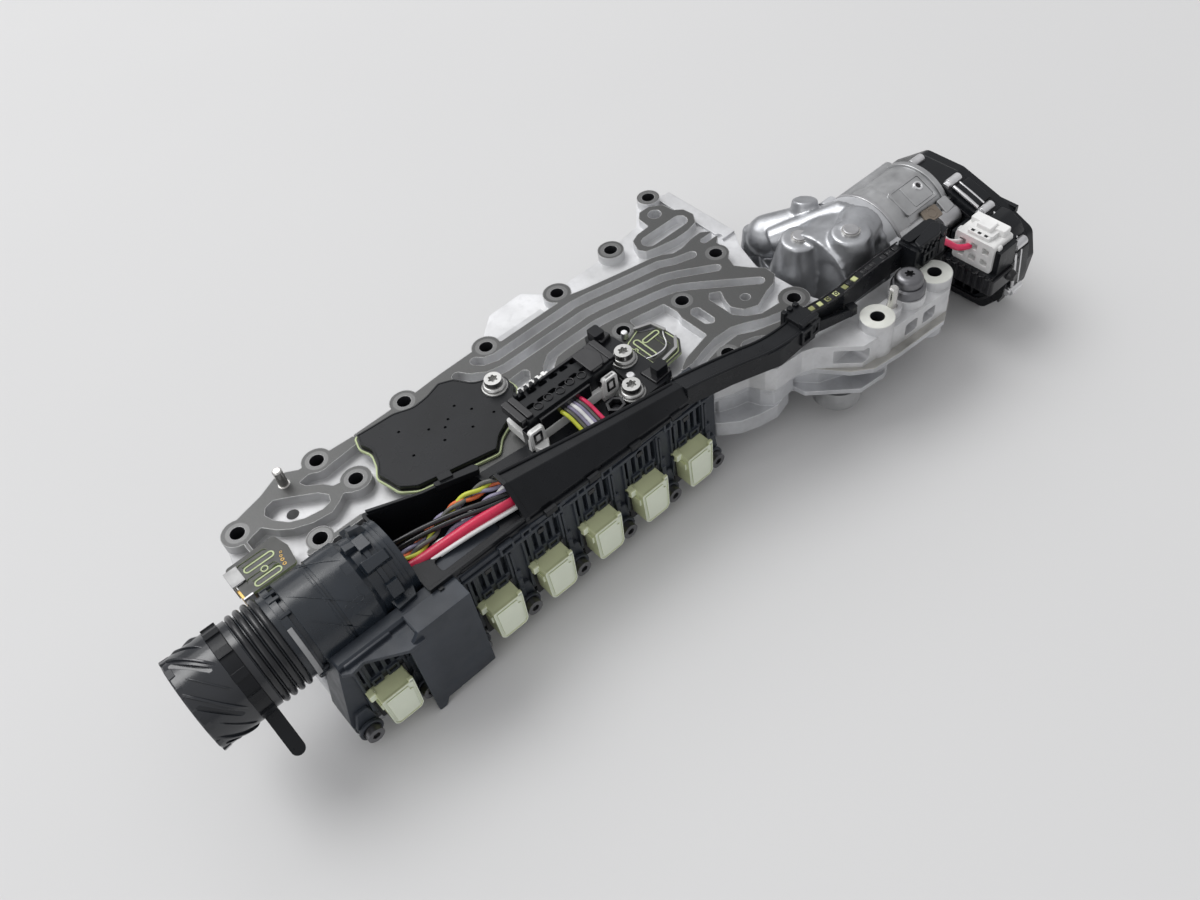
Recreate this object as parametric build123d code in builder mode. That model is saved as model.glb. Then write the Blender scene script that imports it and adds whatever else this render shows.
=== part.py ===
"""Transmission valve body with solenoid row, wire tray, round plug and electric oil pump.

Millimetres, +Z up. The origin is the foot of the left dowel pin on the machined face, +X runs along
the body to the pump, and -Y is the solenoid side.
"""
import os
from math import atan2, cos, degrees, hypot, pi, radians, sin

from build123d import *

os.makedirs("parts", exist_ok=True)


# Driving dimensions of the castings
upper_depth = 26.0
plate_thick = 1.0
lower_depth = 51.0
right_wall_depth = 22.0
foot_height = 4.0
floor_drop = 7.0
raised_edge = 2.0
channel_width = 6.6
boss_hole_d = 8.8
flange_hole_d = 9.0
plate_top = -upper_depth
plate_bottom = plate_top - plate_thick
base_z = plate_bottom - lower_depth
front_y = -108.0
back_y = 2.0
left_x = -50.0
back_x = 150.0

# Dowel pins and bolts on the face
pin_d = 6.0
pin_shank_d = 7.0
pin_sink = 10.0
left_pin_height = 13.0
right_pin_height = 15.0
right_pin_at = (351.0, -163.5)
face_bolt_d = 6.0
face_bolt_head_d = 12.0
face_bolt_head = 6.0
face_bolt_sink = 16.0
washer_d = 15.0
washer_thick = 1.5
fit_gap = 0.1
running_gap = 0.05

# Solenoids, their caps and the carrier
solenoid_count = 7
solenoid_pitch = 38.0
first_solenoid_x = -23.1
solenoid_z = -49.0
cap_width = 21.0
cap_height = 28.8
cap_front_y = -139.4
cap_depth = 11.9
cap_wall = 1.6
coil_width = 24.0
coil_height = 37.0
nozzle_d = 14.0
nozzle_reach = 15.0
coil_clearance = 0.2
carrier_front_y = -128.0
carrier_top = 0.0
carrier_left = -42.0
carrier_foot_left = -52.0
carrier_right = 229.2
carrier_bottom = -58.0
carrier_chamfer = 1.5
carrier_bolt_d = 6.0
carrier_bolt_head_d = 10.5
carrier_bolt_head = 5.0
carrier_bolt_z = -61.0
lug_radius = 7.5
slot_width = 3.0
slot_height = 17.0
slot_depth = 4.0
slots_per_solenoid = 5
slot_pitch = 5.2
slot_middle_z = -18.5
lug_height = 5.0

# Spool valves behind three of the solenoids, clear of the bolt holes
spool_d = 12.0
spool_length = 60.0
spool_land = 9.0
spool_neck_d = 7.0
spring_d = 9.0
spring_wire = 1.4
spring_turns = 5
bore_plug_depth = 8.0
bore_plug_r = 6.05
spool_numbers = (3, 5, 6)

# Large screw with its bush on the front flange
flange_screw_at = (368.0, -162.0)
flange_screw_d = 8.0
flange_screw_sink = 18.0
flange_bush_d = 22.0
flange_bush_height = 7.0
flange_head_d = 18.0
flange_head_height = 7.0

# Round plug, its sleeve and rings, all on one axis parallel to X
plug_y = -92.0
sleeve_r = 27.6
barrel_r = 27.5
neck_r = 24.5
shank_r = 20.8
shank_bore_r = 16.5
socket_r = 22.5
ring_seat_r = 23.7
seal_wire = 3.8
seal_count = 4
seal_pitch = 4.6
first_seal_x = -69.4
sleeve_start_x = -72.0
collar_end_x = 19.0
barrel_start_x = -108.0
lock_ring_x = -84.0
lock_ring_width = 8.0
lever_reach = 54.0
lever_width = 8.0
lever_thick = 4.0
lever_angle = 40.0

# Electric pump, on one axis parallel to X
motor_y = -100.0
motor_z = -15.0
motor_r = 30.0
motor_wall = 2.5
motor_start_x = 400.0
cover_start_x = 456.0
cover_depth = 26.0
rotor_lobes = 6
rotor_circle_r = 14.0
rotor_offset = 1.5
lobe_r = 3.6
rotor_width = 12.0
rotor_start_x = 378.0
rotor_gap = 0.12
outer_rotor_r = 20.0
shaft_d = 8.0


def keep(piece, label):
    """Name a finished piece and write it."""
    piece.part.label = label
    export_step(piece.part, f"parts/{label}.step")


def strip(points, width):
    """Round-ended strip along a chain of points, drawn into the open sketch."""
    for (x0, y0), (x1, y1) in zip(points, points[1:]):
        length = hypot(x1 - x0, y1 - y0)
        with Locations(((x0 + x1) / 2, (y0 + y1) / 2)):
            SlotCenterToCenter(length, width, rotation=degrees(atan2(y1 - y0, x1 - x0)))


def outline(points, radius):
    """Closed outline with rounded corners, for adding to a sketch."""
    with BuildSketch() as shape:
        with BuildLine():
            FilletPolyline(*points, radius=radius, close=True)
        make_face()
    return shape.sketch_local


def facing_front(y):
    """Plane across Y, drawn in X and Z, with its normal towards the viewer's side."""
    return Plane(origin=(0, y, 0), x_dir=(1, 0, 0), z_dir=(0, -1, 0))


def facing_right(x, y=0.0, z=0.0):
    """Plane across X, drawn in Y and Z about the point y, z, with its normal along +X."""
    return Plane(origin=(x, y, z), x_dir=(0, 1, 0), z_dir=(1, 0, 0))


def lead_path(points):
    """Straight runs joined by tangent arcs as large as the runs allow."""
    vectors = [Vector(*p) for p in points]
    radii = []
    for before, corner, after in zip(vectors, vectors[1:], vectors[2:]):
        run = min((corner - before).length, (after - corner).length)
        turn = (corner - before).get_angle(after - corner)
        radii.append(0.45 * run / max(0.01, abs(sin(radians(turn / 2)) / cos(radians(turn / 2)))))
    return FilletPolyline(*vectors, radius=radii)


# Outline of the upper casting at its floor, counter-clockwise from the left tip
floor_outline = [
    (-51, -26), (-53, -57), (18, -57), (52, -70), (82, -77.5), (86, -84), (113, -96), (117, front_y),
    (232, front_y),
    (236, -121), (248, -127), (258, -129), (263, -139), (268, -144), (289, -145.5), (297, -149),
    (318, -170), (349, -174), (393, -177), (403, -169), (401, -152), (384, -143),
    (338, -141), (330, -118), (328, -70), (336, -46), (343, -36), (343, 32),
    (336, 35), (331, 41), (320, 41), (303, 22), (262, 15), (224, 14), (215, 15), (203, 30), (175, 29),
    (158, 14), (146, 9), (118, 5), (90, 5), (54, 4), (24, 7), (3, 9), (-14, 3), (-38, -1), (-46, -6),
]
boss_places = [
    (-38, -11.5, 10.0), (23.5, 1, 9.7), (33, -28.5, 9.7), (-5, -50, 8.5), (88, 1, 9.5), (152.5, 0.5, 9.7),
    (216, 5, 9.7), (269, 10.5, 9.2), (325, 33, 8.2), (314, -46, 9.0), (316, -114, 10.5),
    (266.5, -62.5, 8.5), (222, -54.5, 8.0), (253, -117.5, 7.5),
]
flange_bosses = [(337.5, -163.4, 11.0), (392.6, -163.8, 11.5)]

# Machined lands: what stands above the floor and seals against the plate over it
main_land = [
    (50, 1.5), (50, -62), (86, -82), (113, -94.5), (117, front_y), (216, front_y), (218, -62), (230, -60),
    (231, -51),
    (240, -52.5), (256, -56), (257, -68), (255, -74), (255, -96.5), (232, -101.5), (220, -107.9),
    (232, -107.9), (243, -105), (256, -102.5), (270, -103), (278, -106.5), (290, -113), (305, -118),
    (318, -117), (318, -108), (306, -110), (292, -108.5), (284, -103), (279, -96), (279, -75),
    (283, -71), (289, -75), (285, -83), (283, -90), (287, -98), (296, -102), (309, -97), (318, -95),
    (324.5, -90), (325, -81), (318, -72), (313, -64), (316, -56), (322, -50), (322, -39), (327, -35),
    (327.5, -27), (322, -22.5), (312, -23), (303, -25), (295, -24.5), (289, -20), (282, -17),
    (256, -11.5), (230, -5.5), (222, -3), (203, -2.7), (163, -2.7), (146, 4), (118, 3.5), (96, 2),
]
left_land = [
    (-44, -8), (-36, -3), (-15, 2.5), (-4, 7.5), (5, 7.5), (12, 3), (20, 3), (50, 1), (50, -6),
    (22, -8.5), (14, -4.8), (7, -6), (9, -11), (17, -17.5), (20.5, -23), (25, -24), (32, -22),
    (38, -29), (33, -36), (26, -36), (22, -32.5), (17, -36), (10, -39.5), (-2, -38), (-13, -33),
    (-20, -27), (-26, -18.5), (-32, -20), (-42, -18),
]
loop_land = [
    (281, -4), (285, 5.5), (292, 8.5), (303, 9), (304, 20), (309, 25), (318, 25), (326, 19), (327, 9),
    (332, 4), (333, -5), (328, -12.5), (318, -15), (306, -15), (292, -12), (284, -9.5),
]
near_land = [
    (233, -114), (250, -110.5), (268, -110.5), (277, -116), (292, -121), (306, -126), (302, -139),
    (289, -143.5), (269, -142), (264, -137), (260, -127.5), (249, -125), (237, -119.5),
]
board_pads = [
    [(-47, -34), (-27, -34), (-27, -54), (-47, -54)],
    [(215, -68), (235, -65), (236, -90), (215, -95)],
]
near_rim = [(-14, -54), (2, -54.5), (20, -54.5), (31, -58.5), (50, -66)]
tip_rib = [(-38, -18), (-38, -32)]

# Open oil channels between the lands, as centre lines, and pockets in the lands
oil_channels = [
    [(140, -4.5), (143, -8.5), (151, -11.6), (216, -11.7), (226, -13.2), (256, -20), (280, -25.2),
     (290, -31), (302, -35)],
    [(124, -6.5), (128, -13), (138, -21), (150, -23.8), (216, -24), (226, -25.6), (256, -32.8),
     (273, -37), (283, -42.5), (303.5, -56.5)],
    [(163, -53), (169.5, -43), (177, -37.6), (186, -36.8), (216, -37), (226, -38.8), (258, -46.2),
     (271, -50.5), (280, -57), (313.5, -86.5)],
]
loop_slot = [(293, -3), (321.5, -3)]
loop_slot_width = 11.0
notch_slot = [(318, -31), (332, -31)]
notch_width = 5.0
land_pockets = [
    [(-20, -12), (-17, -7.5), (-11, -6.2), (-4, -10.5), (11, -21), (15, -27), (13, -32), (7, -33.3),
     (-4, -31.2), (-12, -27), (-18, -19)],
    [(261.5, -76), (265, -72.5), (269, -75), (269, -89), (266, -92.5), (261.5, -89)],
    [(143, -34), (156, -33.5), (158.5, -37), (155, -42), (146, -51), (135, -56), (138, -48), (143, -41)],
    [(204, -47), (212, -47), (212, -60), (204, -60)],
    [(262, -118.5), (267, -117.5), (274, -120), (282, -126), (274, -128), (264, -124)],
]
pocket_drain = (-6.8, -17.5)
pocket_drain_r = 3.7
land_holes = [(315, 15.5, 4.7), (296, -90.5, 3.2)]


board_outline = [
    (49, -3), (60, -4), (76, -5), (88, -10), (98, -9), (110, -5), (120, -10), (127, -22), (136, -26),
    (143, -33), (144, -44), (139, -50), (138, -60), (120, -66), (112, -70), (104, -78), (54, -66),
    (45, -58), (43, -48), (41, -40), (46, -32), (49, -22), (46, -13),
]
board_thick = 1.6
board_cover_thick = 3.4
board_rim = 1.8
face_bolts_at = [(133, -36, board_thick + board_cover_thick), (201, -80, 8.0), (186, -104, 8.0)]
bracket_thick = 8.0

with BuildPart() as channel_casting:
    with BuildSketch(Plane.XY.offset(plate_top)):
        add(outline(floor_outline, 2.5))
    extrude(amount=upper_depth - floor_drop)
    # Bright ramp beside the far block
    with BuildSketch(facing_right(163)):
        with BuildLine():
            Polyline((-2.5, 0.5 - floor_drop), (8, -floor_drop), (-2.5, -floor_drop - 3), close=True)
        make_face()
    extrude(amount=40, mode=Mode.SUBTRACT)
    # Raised edge of the block at the pump's end
    with BuildSketch(Plane.XY.offset(-floor_drop)):
        with Locations((337.5, -2)):
            Rectangle(11, 66)
    extrude(amount=raised_edge)
    # Lands and bosses
    with BuildSketch(Plane.XY.offset(-floor_drop)):
        add(outline(main_land, 1.2))
        add(outline(left_land, 1.2))
        add(outline(loop_land, 1.5))
        add(outline(near_land, 1.5))
        strip([flange_bosses[0][:2], right_pin_at], 13)
        with Locations(flange_screw_at):
            Circle(flange_bush_d / 2 + 1)
        for pad in board_pads:
            add(outline(pad, 2))
        strip(near_rim, 4)
        strip(tip_rib, 2.5)
        with Locations((0, 0)):
            Circle(8.5)
    extrude(amount=floor_drop)
    with BuildSketch(Plane.XY.offset(plate_top)):
        for x, y, r in boss_places + flange_bosses:
            with Locations((x, y)):
                Circle(r)
    extrude(amount=upper_depth)
    with BuildSketch(Plane.XY):
        for channel in oil_channels:
            strip(channel, channel_width)
        strip(loop_slot, loop_slot_width)
        strip(notch_slot, notch_width)
        for pocket in land_pockets:
            add(outline(pocket, 1.8))
    extrude(amount=-floor_drop, mode=Mode.SUBTRACT)
    with Locations((*pocket_drain, -floor_drop)):
        Hole(pocket_drain_r, depth=8)
    for x, y, r in land_holes:
        with Locations((x, y, 0)):
            Hole(r, depth=14)
    with Locations(*[(x, y, 0) for x, y, r in boss_places]):
        Hole(boss_hole_d / 2, depth=upper_depth)
    with Locations(*[(x, y, 0) for x, y, r in flange_bosses]):
        Hole(flange_hole_d / 2, depth=upper_depth)
    with Locations((0, 0, 0), (*right_pin_at, 0)):
        Hole(pin_shank_d / 2, depth=pin_sink)
    with Locations(*[(x, y, 0) for x, y, z in face_bolts_at]):
        Hole(face_bolt_d / 2, depth=face_bolt_sink)
    with Locations((*flange_screw_at, 0)):
        Hole(flange_screw_d / 2, depth=flange_screw_sink)
    # Hollows in the flange's outer wall
    with BuildSketch(facing_front(-200)):
        with Locations((313, -16.5)):
            RectangleRounded(21, 11, 3)
    extrude(amount=-43, mode=Mode.SUBTRACT)
    with BuildSketch(facing_front(-200)):
        for x in (359, 375):
            with Locations((x, -17)):
                RectangleRounded(11, 10, 2)
    extrude(amount=-31, mode=Mode.SUBTRACT)
keep(channel_casting, "channel_casting")

# Outline of the separator plate, and of the ledge under it
lower_outline = [
    (left_x, -14), (left_x, front_y), (232, front_y), (236, -120), (249, -126), (259, -128.5),
    (262, -136), (267, -142.5), (288, -143), (298, -149), (311, -167), (323, -176), (345, -179),
    (386, -181), (404, -171), (400, -152), (384, -143), (338, -140), (330, -118), (328, -70),
    (334, -46), (338, -8), (328, 8), (300, 6), (back_x, back_y), (-14, back_y), (-42, -2),
]
# Holes of the upper casting that run on through the plate and the lower casting
through_holes = [(x, y) for x, y, r in boss_places if y < 30]
lower_bosses = [(x, y, r - 1.5) for x, y, r in boss_places if y > -20 and x < 290]

with BuildPart() as separator_plate:
    with BuildSketch(Plane.XY.offset(plate_bottom)):
        add(outline(lower_outline, 2))
        for x, y, r in lower_bosses:
            with Locations((x, y)):
                Circle(r)
        with Locations(*through_holes):
            Circle(boss_hole_d / 2, mode=Mode.SUBTRACT)
        with Locations(*[(x, y) for x, y, r in flange_bosses]):
            Circle(flange_hole_d / 2, mode=Mode.SUBTRACT)
        with Locations((-16, (front_y - 58) / 2)):
            Rectangle(70, -front_y - 58 + 2, mode=Mode.SUBTRACT)
        for x in (70, 110, 150, 190):
            with Locations((x, -40), (x + 12, -60), (x + 4, -92)):
                Circle(2.2, mode=Mode.SUBTRACT)
    extrude(amount=plate_thick)
keep(separator_plate, "separator_plate")

solenoid_xs = [first_solenoid_x + solenoid_pitch * k for k in range(solenoid_count)]
spool_xs = [solenoid_xs[number - 1] for number in spool_numbers]
carrier_bolt_xs = [
    first_solenoid_x + solenoid_pitch * (k - 0.5) - 2.4 for k in range(solenoid_count + 1)
]
bore_mouth_y = front_y + nozzle_reach
saddle_z = -sleeve_r - 0.4
# Lower casting right of the carrier: wall of the shallow part, its ledges, the wall in front and the lobe
right_wall = [
    (200, front_y), (232, front_y), (236, -118), (286, -134), (300, -151), (318, -159), (345, -164),
    (388, -166), (397, -160), (396, -150), (384, -143), (338, -140), (330, -118), (328, -70),
    (334, -46), (338, -8), (328, 8), (200, 0),
]
middle_ledge = [
    (286, -134), (288, -150), (314, -174), (334, -176), (346, -170), (388, -172), (401, -165),
    (398, -150), (384, -143), (338, -140), (300, -120),
]
front_wall = [
    (230, -100), (232, -109), (240, -121), (250, -125.5), (259, -128), (262, -136), (268, -142.5),
    (287, -142), (290, -100),
]
lobe_plate = [
    (230, -100), (231, -126), (244, -136.5), (256, -141), (270, -144), (285, -140), (290, -100),
]
ledge_thick = 3.5
middle_ledge_z = -40.0
lobe_top_z = -42.0
lobe_thick = 12.0
foot_line_y = -122.0
right_floor_z = plate_bottom - right_wall_depth
pocket_size = 28.0
pocket_corner = 4.0
pocket_depth = 14.0
bore_z = solenoid_z

with BuildPart() as lower_casting:
    with BuildSketch(Plane.XY.offset(right_floor_z)):
        add(outline(right_wall, 3))
        for x, y, r in flange_bosses:
            with Locations((x, y)):
                Circle(r - 1)
    extrude(amount=plate_bottom - right_floor_z)
    with BuildSketch(Plane.XY.offset(plate_bottom)):
        add(outline(lower_outline, 2))
    extrude(amount=-ledge_thick)
    with BuildSketch(Plane.XY.offset(middle_ledge_z)):
        add(outline(middle_ledge, 3))
    extrude(amount=-ledge_thick)
    with BuildSketch(Plane.XY.offset(lobe_top_z)):
        add(outline(front_wall, 1.8))
    extrude(amount=plate_bottom - lobe_top_z)
    with BuildSketch(Plane.XY.offset(lobe_top_z)):
        add(outline(lobe_plate, 3))
    extrude(amount=-lobe_thick)
    with BuildSketch(Plane.XY.offset(base_z)):
        add(outline([(left_x, -14), (left_x, front_y), (234, front_y), (250, -111.5), (286, -126),
                     (290, -30), (270, back_y), (-14, back_y), (-42, -2)], 4))
        for x, y, r in lower_bosses:
            with Locations((x, y)):
                Circle(r)
    extrude(amount=plate_bottom - base_z)
    # Foot flange below the carrier
    with BuildSketch(Plane.XY.offset(base_z)):
        add(outline([(left_x, -90), (left_x, foot_line_y), (226, foot_line_y), (226, -90)], 3))
    extrude(amount=foot_height)
    # Room for the round plug's sleeve
    with BuildSketch(Plane.XY.offset(saddle_z)):
        with Locations((left_x + 34, -98)):
            Rectangle(74, 80)
    extrude(amount=40, mode=Mode.SUBTRACT)
    # Cradles under the round plug's sleeve
    for x in (-42, -16):
        with BuildSketch(facing_right(x, plug_y)):
            with Locations((0, saddle_z + 4)):
                Rectangle(30, 10)
            Circle(sleeve_r, mode=Mode.SUBTRACT)
        extrude(amount=8)
    # Solenoid bores, and the spool bores that run on through the back
    with BuildSketch(facing_front(front_y)):
        with Locations(*[(x, bore_z) for x in solenoid_xs]):
            Circle(nozzle_d / 2 + fit_gap)
    extrude(amount=-nozzle_reach, mode=Mode.SUBTRACT)
    with BuildSketch(facing_front(front_y)):
        with Locations(*[(x, bore_z) for x in spool_xs]):
            Circle(spool_d / 2 + running_gap)
    extrude(amount=front_y - back_y, mode=Mode.SUBTRACT)
    with BuildSketch(facing_front(front_y)):
        with Locations(*[(x, carrier_bolt_z) for x in carrier_bolt_xs]):
            Circle(carrier_bolt_d / 2)
    extrude(amount=-12, mode=Mode.SUBTRACT)
    # Pockets in the underside, between ribs
    with BuildSketch(Plane.XY.offset(base_z)):
        with Locations((120, -54)):
            with GridLocations(38, 34, 8, 3):
                RectangleRounded(pocket_size, pocket_size - 2, pocket_corner)
    extrude(amount=pocket_depth, mode=Mode.SUBTRACT)
    with BuildSketch(Plane.XY.offset(base_z)):
        with Locations(*[(x, y) for x, y in through_holes if x < 290 and front_y < y < -20]):
            Circle(7.5)
    extrude(amount=pocket_depth)
    with Locations(*[(x, y, plate_bottom) for x, y in through_holes]):
        Hole(boss_hole_d / 2, depth=lower_depth)
    with Locations(*[(x, y, plate_bottom) for x, y, r in flange_bosses]):
        Hole(flange_hole_d / 2, depth=right_wall_depth)
keep(lower_casting, "lower_casting")

# Stepped dowel pins: a thicker shank pressed into the casting, level with its face
with BuildPart() as dowel_pins:
    with BuildSketch(Plane.XY):
        with Locations((0, 0), right_pin_at):
            Circle(pin_shank_d / 2 - 0.01)
    extrude(amount=-pin_sink)
    for (x, y), height in (((0, 0), left_pin_height), (right_pin_at, right_pin_height)):
        with BuildSketch(Plane.XY):
            with Locations((x, y)):
                Circle(pin_d / 2 - 0.01)
        extrude(amount=height)
        chamfer(dowel_pins.faces().filter_by(Axis.Z).sort_by(Axis.Z)[-1].edges(), 0.8)
keep(dowel_pins, "dowel_pins")

# Pump housing: cast block, round body about the motor axis, two domes with plugs, sloping ribs
housing_outline = [(330, -62), (336, -46), (352, -43), (384, -50), (390, -72), (390, -138), (350, -141),
                   (338, -128)]
housing_body_r = 35.0
housing_right_x = rotor_start_x + rotor_width + 2 * running_gap
port_dome_at = (350, -88)
port_dome_r = 15.0
port_dome_top = 15.0
relief_dome_at = (366, -116)
relief_dome_r = 14.0
relief_dome_top = 25.0
end_plate_r = 34.0

with BuildPart() as pump_housing:
    with BuildSketch(Plane.XY.offset(base_z + 18)):
        add(outline(housing_outline, 6))
    extrude(amount=-base_z - 18 - 2)
    with BuildSketch(facing_right(348, motor_y, motor_z)):
        Circle(housing_body_r)
    extrude(amount=housing_right_x - 348)
    with BuildSketch(Plane.XY.offset(motor_z)):
        with Locations(port_dome_at):
            Circle(port_dome_r)
    extrude(amount=port_dome_top - motor_z, taper=10)
    with BuildSketch(Plane.XY.offset(motor_z)):
        with Locations(relief_dome_at):
            Circle(relief_dome_r)
    extrude(amount=relief_dome_top - motor_z, taper=6)
    with BuildSketch(Plane.XY.offset(motor_z)):
        with Locations((364, -62)):
            Ellipse(22, 15)
    extrude(amount=-motor_z + 6, taper=18)
    with BuildSketch(Plane.XY.offset(-4)):
        strip([(340, -122), (352, -106)], 5)
        strip([(342, -134), (358, -126)], 5)
    extrude(amount=12, taper=6)
    # Clear of the two castings that it bolts against
    with BuildSketch(Plane.XY.offset(base_z)):
        add(outline(floor_outline, 2.5))
        add(outline(lower_outline, 2))
        for x, y, r in boss_places:
            with Locations((x, y)):
                Circle(r)
    extrude(amount=-base_z, mode=Mode.SUBTRACT)
    # Rotor pocket and shaft bore
    with BuildSketch(facing_right(rotor_start_x, motor_y + rotor_offset, motor_z)):
        Circle(outer_rotor_r + running_gap)
    extrude(amount=rotor_width + 4, mode=Mode.SUBTRACT)
    with BuildSketch(facing_right(rotor_start_x - 10, motor_y, motor_z)):
        Circle(shaft_d / 2 + running_gap)
    extrude(amount=12, mode=Mode.SUBTRACT)
    with Locations((*port_dome_at, port_dome_top), (*relief_dome_at, relief_dome_top)):
        Hole(bore_plug_r, depth=bore_plug_depth)
keep(pump_housing, "pump_housing")

with BuildPart() as pump_end_plate:
    with BuildSketch(facing_right(housing_right_x, motor_y, motor_z)):
        Circle(end_plate_r)
        with PolarLocations(end_plate_r - 2, 3, start_angle=35):
            Circle(6)
        Circle(shaft_d / 2 + running_gap, mode=Mode.SUBTRACT)
    extrude(amount=motor_start_x - housing_right_x)
keep(pump_end_plate, "pump_end_plate")


def rotor_outline(clearance):
    """Curve that the ring's round lobes roll around, with one lobe fewer than the ring has."""
    points = []
    steps = rotor_lobes * 10
    for k in range(steps):
        u = 2 * pi * k / steps
        m = rotor_lobes + 1
        cx = rotor_circle_r * cos(u) + rotor_offset * cos(m * u)
        cy = rotor_circle_r * sin(u) + rotor_offset * sin(m * u)
        dx = -rotor_circle_r * sin(u) - m * rotor_offset * sin(m * u)
        dy = rotor_circle_r * cos(u) + m * rotor_offset * cos(m * u)
        size = hypot(dx, dy)
        reach = lobe_r + clearance
        points.append((cx - reach * dy / size, cy + reach * dx / size))
    return points


with BuildPart() as pump_inner_rotor:
    with BuildSketch(facing_right(rotor_start_x + running_gap, motor_y, motor_z)):
        with BuildLine():
            Spline(*rotor_outline(rotor_gap), periodic=True)
        make_face()
        Circle(shaft_d / 2, mode=Mode.SUBTRACT)
    extrude(amount=rotor_width)
keep(pump_inner_rotor, "pump_inner_rotor")

rotor_cavity_r = rotor_circle_r + 2 * rotor_offset - lobe_r + rotor_gap
with BuildSketch() as rotor_cavity:
    Circle(rotor_cavity_r)
    with PolarLocations(rotor_circle_r, rotor_lobes + 1):
        Circle(lobe_r, mode=Mode.SUBTRACT)
with BuildPart() as pump_outer_rotor:
    with BuildSketch(facing_right(rotor_start_x + running_gap, motor_y + rotor_offset, motor_z)):
        Circle(outer_rotor_r)
        add(rotor_cavity.sketch_local, mode=Mode.SUBTRACT)
    extrude(amount=rotor_width)
keep(pump_outer_rotor, "pump_outer_rotor")

# Shaft, motor and its end cover
shaft_start_x = rotor_start_x - 8.0
shaft_end_x = cover_start_x - 4.0
magnet_r = 16.0
magnet_start_x = motor_start_x + 6.0
magnet_length = 34.0
stator_inner_r = 17.0
bearing_width = 5.0
can_back_wall = 3.0

with BuildPart() as pump_shaft:
    with BuildSketch(facing_right(shaft_start_x, motor_y, motor_z)):
        Circle(shaft_d / 2 - 0.01)
    extrude(amount=shaft_end_x - shaft_start_x)
    chamfer(pump_shaft.faces().filter_by(Axis.X).edges(), 0.6)
keep(pump_shaft, "pump_shaft")

with BuildPart() as motor_magnet:
    with BuildSketch(facing_right(magnet_start_x, motor_y, motor_z)):
        Circle(magnet_r)
        Circle(shaft_d / 2, mode=Mode.SUBTRACT)
    extrude(amount=magnet_length)
keep(motor_magnet, "motor_magnet")

with BuildPart() as motor_stator:
    with BuildSketch(facing_right(magnet_start_x, motor_y, motor_z)):
        Circle(motor_r - motor_wall)
        Circle(stator_inner_r, mode=Mode.SUBTRACT)
        with PolarLocations(stator_inner_r + 5, 9):
            SlotOverall(8, 2.2, mode=Mode.SUBTRACT)
    extrude(amount=magnet_length)
keep(motor_stator, "motor_stator")

with BuildPart() as motor_can:
    with BuildSketch(facing_right(motor_start_x, motor_y, motor_z)):
        Circle(motor_r)
        with Locations((0, -motor_r + 4)):
            RectangleRounded(34, 12, 3)
        with PolarLocations(motor_r - 1, 3, start_angle=35):
            Circle(5.5)
    extrude(amount=cover_start_x - motor_start_x)
    # Raised pad on the side that faces up
    with BuildSketch(Plane(origin=(432, motor_y - 12, motor_z + 24), z_dir=(0, -0.42, 0.91),
                           x_dir=(1, 0, 0))):
        RectangleRounded(30, 20, 1.5)
    extrude(amount=3.6)
    with BuildSketch(facing_right(motor_start_x, motor_y, motor_z)):
        Circle(motor_r - motor_wall)
    extrude(amount=cover_start_x - motor_start_x - can_back_wall, mode=Mode.SUBTRACT)
    # Bearing for the end of the shaft
    with BuildSketch(facing_right(cover_start_x - can_back_wall - bearing_width, motor_y, motor_z)):
        Circle(8)
    extrude(amount=bearing_width)
    with BuildSketch(facing_right(cover_start_x - can_back_wall - bearing_width, motor_y, motor_z)):
        Circle(shaft_d / 2 + running_gap)
    extrude(amount=bearing_width, mode=Mode.SUBTRACT)
keep(motor_can, "motor_can")

motor_cover_outline = [
    (-88, 9), (-118, 9), (-150, -1), (-177, -13), (-182, -32), (-180, -57), (-168, -73), (-98, -74),
    (-66, -54), (-62, -12),
]
cover_lid_depth = 7.0
recess_depth = 8.0
motor_plug_y = -163.0
motor_plug_width = 30.0
motor_plug_z = -12.0
motor_plug_height = 22.0
motor_plug_depth = 20.0
seat_depth = 24.0
seat_drop = 10.0
cover_rib_height = 3.0
clip_places = [(-92, 9), (-124, 7), (-150, -1), (-178, -15), (-181, -52), (-166, -71), (-128, -72)]

with BuildPart() as motor_cover:
    with BuildSketch(facing_right(cover_start_x)):
        add(outline(motor_cover_outline, 7))
    extrude(amount=cover_depth - cover_lid_depth)
    # Recess with ribs on the side that faces the valve body
    with BuildSketch(facing_right(cover_start_x)):
        add(outline([(-134, -8), (-160, -16), (-172, -28), (-171, -54), (-160, -66), (-128, -66)], 4))
    extrude(amount=recess_depth, mode=Mode.SUBTRACT)
    with BuildSketch(facing_right(cover_start_x + 2)):
        for z in (-44, -56):
            with Locations((-150, z)):
                Rectangle(46, 2)
    extrude(amount=recess_depth - 2)
    with BuildSketch(facing_right(cover_start_x)):
        add(outline([(-184, 14), (-60, 14), (-60, -80), (-184, -80)], 2))
        add(outline(motor_cover_outline, 7), mode=Mode.SUBTRACT)
    extrude(amount=cover_depth, mode=Mode.SUBTRACT)
    # Seat for the motor's connector
    with BuildSketch(facing_right(cover_start_x - seat_depth, motor_plug_y, motor_plug_z)):
        with Locations((0, -motor_plug_height / 2 - seat_drop / 2)):
            RectangleRounded(motor_plug_width + 8, seat_drop, 2)
    extrude(amount=seat_depth + recess_depth)
    with BuildSketch(facing_right(cover_start_x - seat_depth + 6, motor_plug_y, motor_plug_z)):
        for side in (-1, 1):
            with Locations((side * (motor_plug_width / 2 + 2.05), -2)):
                Rectangle(3.9, motor_plug_height - 4)
    extrude(amount=seat_depth - 6)
keep(motor_cover, "motor_cover")

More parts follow.
